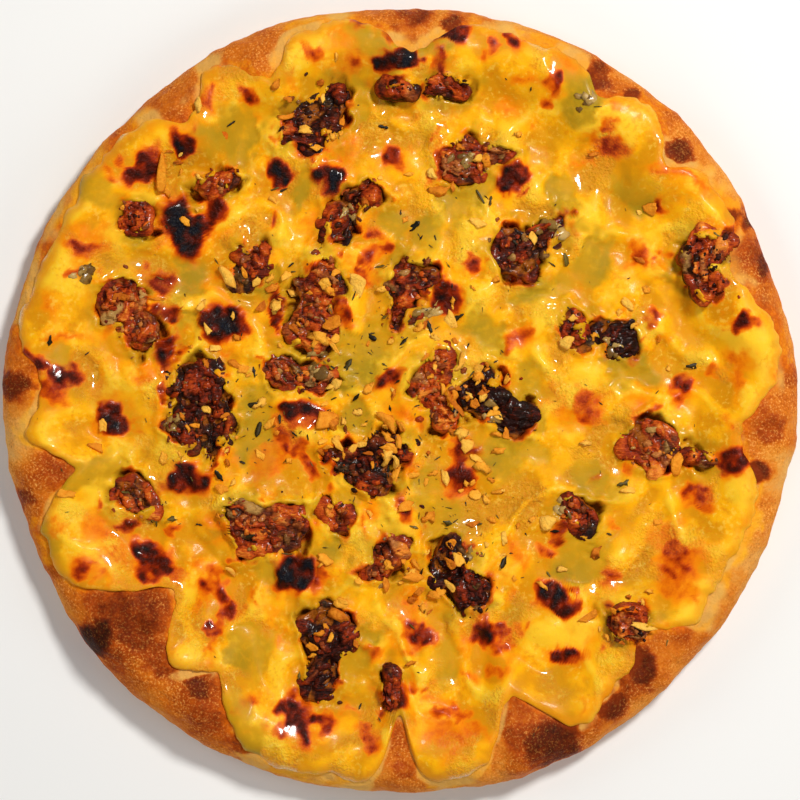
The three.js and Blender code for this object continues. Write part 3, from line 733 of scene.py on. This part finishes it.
def steak_piece(node, material, draw):
    """A clump's solid, remeshed finely and roughened into shredded meat."""
    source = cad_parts[node]
    rough = bpy.data.objects.new("rough", source.data.copy())
    bpy.context.scene.collection.objects.link(rough)
    remesh = rough.modifiers.new("remesh", "REMESH")
    remesh.mode = "VOXEL"
    remesh.voxel_size = VOXEL * MM
    shaped = rough.evaluated_get(bpy.context.evaluated_depsgraph_get())
    mesh = bpy.data.meshes.new_from_object(shaped)
    points, faces = mesh_arrays(mesh)
    outward = np.array([vertex.normal[:] for vertex in mesh.vertices])
    bpy.data.objects.remove(rough)
    along, beside = along_and_beside(points[:, 0], points[:, 1], draw.uniform(0, math.pi))
    strands = np.column_stack([along * 0.45, beside, points[:, 2]])
    strands += 1.3 * np.column_stack([noise_at(points, 5, seed) for seed in (101, 102, 103)])
    lumps = noise_at(points, 9, 111)
    border, rise, tone = chunks_at(strands, 4.6, 1)
    small_border, small_rise, small_tone = chunks_at(strands, 1.9, 2)
    fullness = smooth_step(0, 0.45, border)
    push = 1.8 * lumps + 1.6 * (rise - 0.5) + 1.1 * (fullness - 0.7) - 1.3
    push += 0.5 * (small_rise - 0.5) + 0.5 * (smooth_step(0, 0.5, small_border) - 0.7)
    push += 0.2 * noise_at(points, 1.1, 114)
    spread = np.maximum(1.8 + 4 * noise_at(points * (1, 1, 0), 7, 115), 0)
    side = 1 - np.abs(outward[:, 2])
    push = push * (1 - 0.6 * side) + spread * side
    points = points + outward * push[:, None]
    points[:, 2] = np.maximum(points[:, 2], BASE_THICKNESS - 0.5)
    number = int(node[-2:])
    # The grain is the clump's own tone with random shifts, and also painted shade and light: darker in the
    # creases between chunks, lighter the higher a chunk or point stands.
    grain = 0.45 + TONES.get(number, 0) + 0.24 * (fullness - 0.6) + 0.2 * (small_tone - 0.5)
    grain += 0.12 * (smooth_step(0, 0.5, small_border) - 0.6) + 0.3 * noise_at(points, 8, 122)
    grain += 0.3 * (rise - 0.5) + 0.08 * (points[:, 2] - CHEESE_LEVEL - 1.5)
    above = points[:, 2] - cheese_level(points[:, 0], points[:, 1]) + 1.3 * layered(points, 5, 2, 131)
    hue = REDS.get(number, 0.16) + 0.75 * tone + 0.25 * small_rise + 0.5 * layered(points, 9, 2, 121)
    masks = {
        "film": smooth_step(1.0, -0.8, above),
        # grain: the meat's tone, with painted shade in the creases and painted light on the tops
        "grain": np.clip(grain, 0, 1),
        "hue": np.clip(hue, 0, 1),
        "onion": (tone < 0.09) * smooth_step(0.05, 0.3, border),
    }
    return make_piece(node + "_meat", points, faces, masks, material)


# ---- things laid on top


def resting_axes(tree, x, y, length, width, turn, draw, tilt):
    """Where a flake of that size comes to rest: its middle, and its three axes."""
    turn = math.radians(turn)
    ahead = np.array([math.cos(turn), math.sin(turn)])
    side = np.array([-ahead[1], ahead[0]])
    spots = []
    for a, b in ((0.4, 0), (-0.4, 0), (0, 0.4), (0, -0.4), (0, 0)):
        place = np.array([x, y]) + ahead * a * length + side * b * width
        height = ground(tree, *place)
        if height is None:
            return None
        spots.append(height)
    lean_ahead = (spots[0] - spots[1]) / (0.8 * length) + draw.normal(0, tilt)
    lean_side = (spots[2] - spots[3]) / (0.8 * width) + draw.normal(0, tilt)
    lean_ahead, lean_side = np.clip([lean_ahead, lean_side], -0.7, 0.7)
    forward = np.array([*ahead, lean_ahead])
    forward /= np.linalg.norm(forward)
    across = np.array([*side, lean_side])
    up = np.cross(forward, across)
    up /= np.linalg.norm(up)
    across = np.cross(up, forward)
    height = 0.5 * np.mean(spots) + 0.5 * max(spots[:4])
    return np.array([x, y, height]), forward, across, up


class Heap:
    """Many small shapes gathered into one mesh."""

    def __init__(self):
        self.points = []
        self.faces = []
        self.masks = {}
        self.count = 0

    def add(self, points, faces, **masks):
        self.points.append(points)
        self.faces += shifted(faces, self.count)
        for name, values in masks.items():
            self.masks.setdefault(name, []).append(np.broadcast_to(values, len(points)))
        self.count += len(points)

    def piece(self, name, material):
        masks = {mask: np.concatenate(values) for mask, values in self.masks.items()}
        return make_piece(name, np.vstack(self.points), self.faces, masks, material)


def scattered(clusters, shape, scale, slimness, draw):
    """Draws for each cluster's flakes: x, y, size, share of width to length, and turn."""
    for middle_x, middle_y, spread, count in clusters:
        for _ in range(count):
            size = draw.gamma(shape, scale)
            place = np.array([middle_x, middle_y]) + draw.normal(0, spread, 2) * 0.75
            yield *place, size, draw.uniform(*slimness), draw.uniform(0, 180)


def flake_shape(length, width, draw):
    """A chip of fried garlic in its own axes: cornered outline, thin, a little cupped."""
    columns = 14
    corners = draw.integers(5, 8)
    turns = np.sort((np.arange(corners) + draw.uniform(-0.32, 0.32, corners)) * 2 * math.pi / corners)
    reach = draw.uniform(0.45, 1.2, corners)
    angle = np.arange(columns) * 2 * math.pi / columns
    corner_x = np.interp(angle, turns, reach * np.cos(turns), period=2 * math.pi)
    corner_y = np.interp(angle, turns, reach * np.sin(turns), period=2 * math.pi)
    ragged = draw.uniform(0.84, 1.14, columns)
    outline = np.column_stack([corner_x * length / 2, corner_y * width / 2]) * ragged[:, None]
    thick = np.clip(0.2 * width, 0.5, 1.3) * draw.uniform(0.8, 1.2)
    cup = draw.uniform(-0.5, 0.8) * thick / (length / 2) ** 2 * 2
    twist = draw.uniform(-0.8, 0.8) * thick / (length * width / 4)
    points = []
    edges = []
    for part, lift in ((1, -0.3), (1.03, 0.1), (0.86, 0.5), (0.45, 0.55)):
        ring = outline * part
        z = lift * thick + cup * ring[:, 0] ** 2 + twist * ring[:, 0] * ring[:, 1]
        z = z + draw.uniform(-0.3, 0.3, columns) * thick * (1 if part < 1 else 0.5)
        points.append(np.column_stack([ring, z]))
        edges.append(np.full(columns, 1.0 if part >= 1 else 0.35 if part > 0.5 else 0.0))
    points = np.vstack(points + [[[0, 0, 0.5 * thick]], [[0, 0, -0.35 * thick]]])
    edges = np.concatenate(edges + [[0, 0]])
    faces = strips(4, columns) + fan(4 * columns, 3 * columns, columns)
    faces += turned(fan(4 * columns + 1, 0, columns))
    return points, faces, edges, thick


def curl_shape(length, width, draw):
    """A crooked crumb of fried garlic: a knobbly bar bent round."""
    points, faces = ball_shape((1, 1, 1), draw, 0.9)
    points = points * (length, 0.7 * width, 0.6 * width)
    bend = length / draw.uniform(0.6, 1.8)
    turn = points[:, 0] / bend
    reach = bend - points[:, 1]
    x, y = reach * np.sin(turn), bend - reach * np.cos(turn)
    z = points[:, 2] + draw.uniform(-0.15, 0.3) * np.abs(points[:, 0])
    return np.column_stack([x, y - np.mean(y), z]), faces


def lay(heap, shape, seat, sink, **masks):
    """Puts a shape made in its own axes where it rests."""
    points, faces = shape
    middle, forward, across, up = seat
    placed = middle + points[:, :1] * forward + points[:, 1:2] * across + (points[:, 2:3] - sink) * up
    if placed[:, 2].max() < inner_box()[1][2]:
        heap.add(placed, faces, **masks)


def garlic_piece(tree, draw):
    heap = Heap()
    flakes = list(GARLIC)
    for x, y, size, slim, turn in scattered(GARLIC_CLUSTERS, 1.9, 1.35, (0.4, 0.8), draw):
        length = min(1.6 + size, 8)
        flakes.append((x, y, length, length * slim, turn))
    for x, y, length, width, turn in flakes:
        if math.hypot(x, y) > GARLIC_REACH:
            continue
        seat = resting_axes(tree, x, y, length, width, turn, draw, 0.16)
        if seat is None:
            continue
        kind = draw.uniform()
        thick = min(0.5 * width, 1.6)
        if kind < 0.16 and length < 10:
            points, faces = curl_shape(length, width, draw)
            edges = 0.5 + 0 * points[:, 0]
        elif kind < 0.65 and length < 5:
            points, faces = ball_shape((length, width, thick), draw, 1.4)
            edges = 1.2 * np.abs(points[:, 0]) / length
        else:
            points, faces, edges, thick = flake_shape(length, width, draw)
        lay(heap, (points, faces), seat, -0.3 * thick, edge=edges, tone=draw.uniform(0, 1))
    return heap.piece("garlic_flakes", garlic_material())


def leaf_shape(length, width, draw):
    """A fleck of dried leaf: thin, pointed, folded and curled."""
    stations = np.linspace(-0.5, 0.5, 6)
    half = width / 2 * np.sqrt(np.clip(1 - (2 * stations) ** 2, 0.12, 1)) * draw.uniform(0.45, 1.25, 6)
    fold = draw.uniform(0.1, 0.6)
    curl = draw.uniform(-0.4, 0.5) / length
    points = []
    for side, lift in ((-1, 0), (0, 1), (1, 0), (0, -1)):
        across = side * half
        z = fold * np.abs(across) + lift * 0.09 + curl * (stations * length) ** 2
        points.append(np.column_stack([stations * length, across, z]))
    points = np.array(points).transpose(1, 0, 2).reshape(-1, 3)
    return points, [(0, 1, 2, 3), (23, 22, 21, 20)] + turned(strips(6, 4))


def herb_piece(tree, draw):
    heap = Heap()
    leaves = list(HERBS)
    for x, y, size, slim, turn in scattered(HERB_CLUSTERS, 1.3, 0.75, (0.12, 0.4), draw):
        length = 0.5 + size
        leaves.append((x, y, min(length, 4.5), min(length * slim, 1.3), turn))
    for x, y, length, width, turn in leaves:
        if math.hypot(x, y) > HERB_REACH:
            continue
        seat = resting_axes(tree, x, y, length, width, turn, draw, 0.22)
        if seat is None:
            continue
        shape = leaf_shape(length, width, draw)
        lay(heap, shape, seat, -0.12, tone=draw.uniform(0, 1))
    return heap.piece("herb_leaves", herb_material())


def ball_shape(size, draw, knobs):
    """A grain as knobbly as knobs says."""
    points = BALL_POINTS * (np.array(size) / 2)
    swell = 1 + knobs * noise_at(BALL_POINTS * 1.3 + draw.uniform(0, 50), 1.0)
    return points * swell[:, None], BALL_FACES


def ball_mesh():
    """A round ball's points and faces, 1 mm in radius."""
    ball = bmesh.new()
    bmesh.ops.create_icosphere(ball, subdivisions=2, radius=1)
    points = np.array([vertex.co[:] for vertex in ball.verts])
    faces = [tuple(vertex.index for vertex in face.verts) for face in ball.faces]
    ball.free()
    return points, faces


BALL_POINTS, BALL_FACES = ball_mesh()


def onion_piece(tree, draw):
    heap = Heap()
    for x, y, length, width, turn in ONIONS:
        for _ in range(5):
            size = (length * draw.uniform(0.3, 0.8), width * draw.uniform(0.3, 0.7), 1.5)
            place = np.array([x, y]) + draw.normal(0, 0.3, 2) * (length, width)
            seat = resting_axes(tree, *place, size[0], size[1], turn + draw.uniform(-40, 40), draw, 0.1)
            if seat is not None:
                lay(heap, ball_shape(size, draw, 0.9), seat, 0.35, tone=draw.uniform(0, 1))
    return heap.piece("onion_bits", onion_material())


def shred_shape(length, width, thick, draw):
    """A torn strip of meat: a ball drawn out, bent and knobbly."""
    knobs = 1 + 0.5 * noise_at(BALL_POINTS * (2.2, 1.1, 1.1) + draw.uniform(0, 50), 0.8)
    points = BALL_POINTS * knobs[:, None] * (length / 2, width / 2, thick / 2)
    points[:, 1] += draw.uniform(-0.25, 0.25) * points[:, 0] ** 2 / length * 2
    points[:, 2] += draw.uniform(-0.2, 0.1) * points[:, 0] ** 2 / length * 2
    return points, BALL_FACES


def shred_piece(tree, meat_tree, draw, material):
    """Loose shreds of the steak, on the clumps and reaching over the cheese beside them."""
    heap = Heap()
    for node in STEAK_NODES:
        low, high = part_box(node)
        size = Vector(high - low) / MM
        middle = (low + high) / 2 / MM
        for _ in range(int(size.x * size.y / 7)):
            place = np.array(middle[:2]) + np.clip(draw.normal(0, 0.3, 2), -0.6, 0.6) * (size.x, size.y)
            length = min(0.8 + draw.gamma(1.4, 0.75), 5)
            width = min(length * draw.uniform(0.4, 0.9), 2.4)
            on_meat = ground(meat_tree, *place) is not None
            seat = resting_axes(tree, *place, length, width, draw.uniform(0, 180), draw, 0.25)
            if seat is None or (not on_meat and draw.uniform() > 0.1):
                continue
            shred = shred_shape(length, width, width * draw.uniform(0.4, 0.8), draw)
            onion = float(draw.uniform() < 0.06)
            tone = 0.49 + TONES.get(int(node[-2:]), 0) if on_meat else 0.5
            grain = tone + 0.6 * draw.uniform(-0.5, 0.5)
            lay(heap, shred, seat, 0.1, grain=grain, hue=draw.uniform(0, 1), onion=onion)
    return heap.piece("steak_shreds", material)


# ---- materials


def srgb(*screen):
    """A colour given as it looks on a screen, 0 to 255, as the shader takes it."""
    return *(((c / 255 + 0.055) / 1.055) ** 2.4 if c > 10 else c / 255 / 12.92 for c in screen), 1


class Shader:
    """A material's nodes, with short calls to add and join them."""

    def __init__(self, name, **constants):
        self.material = bpy.data.materials.new(name)
        self.material.use_nodes = True
        self.tree = self.material.node_tree
        self.surface = self.tree.nodes["Principled BSDF"]
        self.place = self.add("ShaderNodeTexCoord").outputs["Object"]
        for socket, value in constants.items():
            self.surface.inputs[socket.replace("_", " ")].default_value = value

    def add(self, kind, inputs=None, **settings):
        node = self.tree.nodes.new(kind)
        for name, value in settings.items():
            setattr(node, name, value)
        for name, value in (inputs or {}).items():
            self.feed(node.inputs[name], value)
        return node

    def feed(self, socket, value):
        if isinstance(value, bpy.types.NodeSocket):
            self.tree.links.new(value, socket)
        else:
            socket.default_value = value

    def set(self, name, value):
        self.feed(self.surface.inputs[name], value)

    def mask(self, name):
        return self.add("ShaderNodeAttribute", attribute_name=name).outputs["Fac"]

    def noise(self, size, detail=2, roughness=0.5):
        """Noise from 0 to 1 with features about size mm across."""
        inputs = {"Vector": self.place, "Scale": 1 / (size * MM), "Detail": detail, "Roughness": roughness}
        return self.add("ShaderNodeTexNoise", inputs).outputs["Fac"]

    def fibres(self, size, turn):
        """Noise about size mm across and four times as long, turned by an angle in radians."""
        inputs = {"Vector": self.place, "Rotation": (0, 0, turn), "Scale": (0.25, 1, 0.7)}
        drawn_out = self.add("ShaderNodeMapping", inputs).outputs["Vector"]
        inputs = {"Vector": drawn_out, "Scale": 1 / (size * MM), "Detail": 3, "Distortion": 0.6}
        return self.add("ShaderNodeTexNoise", inputs).outputs["Fac"]

    def blend(self, factor, a, b):
        """A number that goes from a to b."""
        return self.add("ShaderNodeMix", {0: factor, 2: a, 3: b}, data_type="FLOAT").outputs[0]

    def math(self, operation, *numbers, clamp=False):
        inputs = dict(enumerate(numbers))
        return self.add("ShaderNodeMath", inputs, operation=operation, use_clamp=clamp).outputs[0]

    def times(self, a, b):
        return self.math("MULTIPLY", a, b)

    def wobble(self, value, *parts):
        """value plus each part's noise, centred on nothing and scaled."""
        for part, strength in parts:
            value = self.math("ADD", value, self.math("MULTIPLY_ADD", part, strength, -0.5 * strength))
        return value

    def span(self, value, low, high, to_low=0.0, to_high=1.0):
        """A soft step from to_low, where value is at low, to to_high, where it is at high."""
        inputs = {"Value": value, "From Min": low, "From Max": high, "To Min": to_low, "To Max": to_high}
        return self.add("ShaderNodeMapRange", inputs, interpolation_type="SMOOTHSTEP").outputs["Result"]

    def ramp(self, value, *stops):
        node = self.add("ShaderNodeValToRGB", {"Fac": value})
        elements = node.color_ramp.elements
        while len(elements) < len(stops):
            elements.new(0.5)
        for element, stop in zip(elements, stops):
            element.position = stop[0]
        for element, stop in zip(elements, stops):
            element.color = srgb(*stop[1])
        return node.outputs["Color"]

    def mix(self, factor, a, b):
        """A colour that goes from a to b, where b is a socket or a colour as on a screen."""
        inputs = {0: factor, 6: a, 7: srgb(*b) if isinstance(b, tuple) else b}
        return self.add("ShaderNodeMix", inputs, data_type="RGBA").outputs[2]

    def roughness(self, size, low, high):
        """Roughness that goes between two values in patches about size mm across."""
        self.set("Roughness", self.span(self.noise(size, 2), 0.3, 0.7, low, high))

    def bump(self, height, strength, depth, under=None):
        """Relief of the given height socket, depth mm at most, over an earlier bump."""
        inputs = {"Height": height, "Strength": strength, "Distance": depth * MM}
        if under:
            inputs["Normal"] = under
        return self.add("ShaderNodeBump", inputs).outputs["Normal"]


def crust_material():
    s = Shader("crust_browned", Specular_IOR_Level=0.08)
    toast = s.wobble(s.mask("toast"), (s.noise(3.5, 4), 0.3), (s.noise(1.0, 3), 0.22))
    color = s.ramp(
        toast, (0.05, (230, 170, 86)), (0.28, (224, 138, 44)), (0.45, (208, 108, 22)),
        (0.62, (172, 70, 12)), (0.8, (112, 38, 8)), (1.0, (50, 18, 8))
    )
    patches = s.span(s.noise(12, 3), 0.36, 0.62, 0.25, 0.9)
    grain = s.noise(0.8, 4, 0.65)
    light = s.times(patches, s.span(toast, 0.9, 0.5, 0.25, 1))
    color = s.mix(s.times(s.span(grain, 0.5, 0.68), light), color, (246, 170, 82))
    color = s.mix(s.times(s.span(grain, 0.46, 0.3, 0, 0.65), patches), color, (116, 48, 10))
    glaze = s.wobble(s.mask("baked_on"), (s.noise(2.2, 4), 0.4))
    baked = s.ramp(
        toast, (0.2, (250, 176, 30)), (0.42, (238, 148, 14)), (0.55, (214, 100, 8)), (0.75, (130, 46, 8))
    )
    color = s.mix(s.span(glaze, 0.25, 0.8, 0, 0.85), color, baked)
    dough = s.ramp(s.noise(7, 3), (0.35, (240, 168, 58)), (0.5, (230, 174, 84)), (0.65, (220, 168, 84)))
    color = s.mix(s.span(s.mask("pale"), 0.15, 0.6, 0, 0.82), color, dough)
    s.set("Base Color", color)
    s.roughness(6, 0.5, 0.75)
    coarse = s.bump(s.noise(2.8, 4), 0.8, 0.8)
    s.set("Normal", s.bump(s.noise(0.9, 3), 0.9, 0.4, coarse))
    return s.material


def cheese_material():
    s = Shader("cheese_browned", Coat_Roughness=0.11, Specular_IOR_Level=0.12, Subsurface_Weight=0.3)
    s.surface.inputs["Subsurface Radius"].default_value = (3 * MM, 1.6 * MM, 0.4 * MM)
    s.surface.inputs["Subsurface Scale"].default_value = 1
    toast = s.mask("toast")
    pool = s.mask("pool")
    browned = s.wobble(toast, (s.noise(2.6, 4), 0.28), (s.noise(0.8, 2), 0.08))
    color = s.ramp(
        browned, (0.0, (252, 179, 12)), (0.18, (250, 160, 8)), (0.34, (242, 134, 4)), (0.48, (216, 90, 4)),
        (0.6, (156, 42, 4)), (0.74, (88, 20, 5)), (0.9, (34, 14, 10)), (1.0, (20, 20, 27))
    )
    golden = s.span(browned, 0.42, 0.18)
    rise = s.wobble(s.mask("rise"), (s.noise(5, 3), 0.7))
    # Painted shade and painted highlight: golden cheese is a darker ochre in the low places between its
    # lumps and a paler yellow on its high ridges.
    color = s.mix(s.times(s.span(rise, 0.52, 0.14, 0, 0.85), golden), color, (214, 142, 10))
    color = s.mix(s.times(s.span(rise, 0.58, 0.92, 0, 0.62), golden), color, (255, 210, 52))
    rough = s.span(s.noise(11, 3), 0.42, 0.56)
    grains = s.noise(1.7, 3)
    low_grains = s.times(s.span(grains, 0.46, 0.34, 0, 0.28), rough)
    high_grains = s.times(s.span(grains, 0.54, 0.66, 0, 0.4), rough)
    color = s.mix(s.times(low_grains, golden), color, (214, 104, 4))
    color = s.mix(s.times(high_grains, golden), color, (255, 212, 84))
    color = s.mix(s.times(s.span(s.mask("border"), 0.2, 0.9, 0, 0.55), golden), color, (226, 140, 24))
    clear = s.times(pool, s.span(s.noise(3, 2), 0.2, 0.6, 0.65, 0.95))
    color = s.mix(clear, color, s.ramp(s.noise(16, 2), (0.35, (167, 134, 24)), (0.65, (206, 151, 20))))
    # Painted shade: the cheese turns dark brown in the crevice beside the steak.
    color = s.mix(s.times(s.mask("crevice_shade"), 0.45), color, (140, 70, 12))
    s.set("Base Color", color)
    s.roughness(2, 0.35, 0.55)
    crinkle = s.mask("crinkle")
    gloss = s.times(s.span(crinkle, 0.05, 0.5, 0.06, 1.0), s.span(toast, 0.45, 0.75, 1, 0.3))
    s.set("Coat Weight", gloss)
    lively = s.math("ADD", crinkle, s.span(pool, 0, 0.5, 0.3, 0), clamp=True)
    coarse = s.bump(s.noise(2.8, 3), s.times(lively, 0.6), 0.7)
    fine = s.bump(s.noise(1.0, 3), s.span(crinkle, 0, 1, 0.05, 0.85), 1.2, coarse)
    s.set("Normal", s.bump(s.noise(1.3, 3), s.span(toast, 0.5, 0.8), 1.1, fine))
    return s.material


def steak_material():
    s = Shader("steak_shredded", Coat_Weight=0.18, Coat_Roughness=0.14, Specular_IOR_Level=0.15)
    crossing = s.blend(s.span(s.noise(6, 1), 0.44, 0.5), s.fibres(0.7, 0.5), s.fibres(0.7, 2.0))
    fibres = s.blend(s.span(s.noise(4.5, 1), 0.5, 0.58), crossing, s.fibres(0.7, 2.9))
    grain = s.wobble(s.mask("grain"), (s.noise(2.2, 3), 0.4), (fibres, 0.75), (s.noise(0.6, 2), 0.3))
    # Through the grain mask the darkest colours are painted shade in the creases between chunks and the
    # lightest are painted light on their tops, over the meat's own tone.
    brown = s.ramp(
        grain, (0.0, (26, 9, 5)), (0.25, (62, 23, 10)), (0.48, (106, 43, 16)), (0.72, (146, 72, 28)),
        (1.0, (196, 122, 60))
    )
    red = s.ramp(
        grain, (0.0, (34, 7, 3)), (0.25, (98, 27, 7)), (0.48, (152, 47, 9)), (0.72, (198, 80, 16)),
        (1.0, (236, 140, 44))
    )
    color = s.mix(s.span(s.mask("hue"), 0.3, 0.7), brown, red)
    soft = s.ramp(grain, (0.1, (44, 28, 14)), (0.4, (112, 76, 34)), (0.85, (180, 142, 76)))
    color = s.mix(s.times(s.mask("onion"), 0.8), color, soft)
    film = s.wobble(s.mask("film"), (s.noise(1.5, 3), 0.6))
    oily = s.ramp(film, (0.5, (112, 46, 10)), (1.0, (196, 106, 14)))
    color = s.mix(s.span(film, 0.5, 1.1, 0, 0.6), color, oily)
    s.set("Base Color", color)
    s.roughness(1.5, 0.35, 0.7)
    coarse = s.bump(s.noise(1.6, 3), 0.8, 0.6)
    s.set("Normal", s.bump(fibres, 1.0, 0.7, coarse))
    return s.material


def garlic_material():
    s = Shader("garlic_fried", Specular_IOR_Level=0.15)
    tone = s.wobble(s.mask("tone"), (s.noise(2.0, 3), 0.6))
    color = s.ramp(
        tone, (0.05, (255, 198, 80)), (0.4, (252, 174, 48)), (0.7, (238, 145, 30)), (1.0, (190, 94, 18))
    )
    color = s.mix(s.times(s.mask("edge"), 0.35), color, (214, 122, 24))
    s.set("Base Color", color)
    s.roughness(2, 0.45, 0.7)
    s.set("Normal", s.bump(s.noise(1.2, 4, 0.6), 1.0, 0.8))
    return s.material


def herb_material():
    s = Shader("herb_dried", Specular_IOR_Level=0.4)
    tone = s.wobble(s.mask("tone"), (s.noise(0.8, 2), 0.3))
    s.set("Base Color", s.ramp(tone, (0.1, (20, 17, 8)), (0.55, (52, 42, 15)), (0.95, (112, 92, 30))))
    s.roughness(1, 0.4, 0.65)
    s.set("Normal", s.bump(s.noise(0.4, 2), 0.5, 0.12))
    return s.material


def onion_material():
    s = Shader("onion_soft", Coat_Weight=0.35, Coat_Roughness=0.12, Subsurface_Weight=0.25)
    s.surface.inputs["Subsurface Radius"].default_value = (2 * MM, 1.4 * MM, 0.8 * MM)
    tone = s.wobble(s.mask("tone"), (s.noise(2, 2), 0.6))
    s.set("Base Color", s.ramp(tone, (0.1, (112, 78, 30)), (0.5, (154, 118, 54)), (0.95, (196, 160, 92))))
    s.roughness(2, 0.2, 0.4)
    s.set("Normal", s.bump(s.noise(1.2, 2), 0.4, 0.3))
    return s.material


# ---- putting it together


def keep(piece, slot, *nodes):
    """Fixes a piece to the pizza and hides the solids that it stands for; slot, its finish, is not used."""
    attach(piece, "root")
    if nodes:
        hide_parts(*nodes)
    return piece


def build_pizza():
    meat_tree = surface_tree([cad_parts[node] for node in STEAK_NODES])
    crust = keep(crust_piece(), "crust", "crust")
    cheese = keep(cheese_piece(meat_tree), "cheese", "cheese")
    meat = steak_material()
    draw = np.random.default_rng(SEED)
    steak = [keep(steak_piece(node, meat, draw), "steak", node) for node in STEAK_NODES]
    tree = surface_tree([crust, cheese] + steak)
    shreds = keep(shred_piece(tree, meat_tree, draw, meat), "steak")
    onions = keep(onion_piece(tree, draw), "cheese")
    tree = surface_tree([crust, cheese, shreds, onions] + steak)
    keep(garlic_piece(tree, draw), "cheese")
    keep(herb_piece(tree, draw), "cheese")


def area_light(name, direction, distance, size, power, color=(1, 1, 1), glints=True):
    """A round lamp that faces the pizza; without glints, it isn't mirrored in the surfaces."""
    light = bpy.data.lights.new(name, "AREA")
    light.shape = "DISK"
    light.size = size
    light.energy = power
    light.color = color
    lamp = bpy.data.objects.new(name, light)
    lamp.location = Vector(direction).normalized() * distance
    lamp.rotation_euler = Vector(direction).to_track_quat("Z", "Y").to_euler()
    lamp.visible_glossy = glints
    bpy.context.scene.collection.objects.link(lamp)


def stage_and_light():
    floor_material = Shader("floor_pale", Roughness=0.9)
    floor_material.set("Base Color", (0.86, 0.86, 0.85, 1))
    corners = [(x, y, FLOOR_LEVEL) for x, y in ((-1, -1), (1, -1), (1, 1), (-1, 1))]
    points = np.array(corners) * (FLOOR_REACH, FLOOR_REACH, 1)
    make_piece("floor", points, [(0, 1, 2, 3)], {}, floor_material.material)
    world = bpy.data.worlds.new("soft_room")
    world.use_nodes = True
    background = world.node_tree.nodes["Background"]
    background.inputs["Color"].default_value = (1, 0.98, 0.95, 1)
    background.inputs["Strength"].default_value = 0.14
    bpy.context.scene.world = world
    area_light("window", (0.4, 0.46, 0.9), 1.3, 0.24, 14.0, (1, 0.98, 0.94))
    for direction in ((-0.75, 0.3, 0.6), (-0.25, -0.8, 0.6), (0.8, -0.35, 0.6)):
        area_light("room", direction, 1.3, 0.7, 2.9, glints=False)


def top_camera():
    """Straight down, as the photograph looks, with the whole outline just in the frame."""
    camera = bpy.data.cameras.new("camera")
    camera.lens = camera.sensor_width * (EYE_HEIGHT - CHEESE_LEVEL) / FRAME_WIDTH
    eye = bpy.data.objects.new("camera", camera)
    eye.location = (0, 0, EYE_HEIGHT * MM)
    bpy.context.scene.collection.objects.link(eye)
    bpy.context.scene.camera = eye


top_camera()
stage_and_light()
build_pizza()
bpy.context.scene.view_settings.view_transform = "Standard"
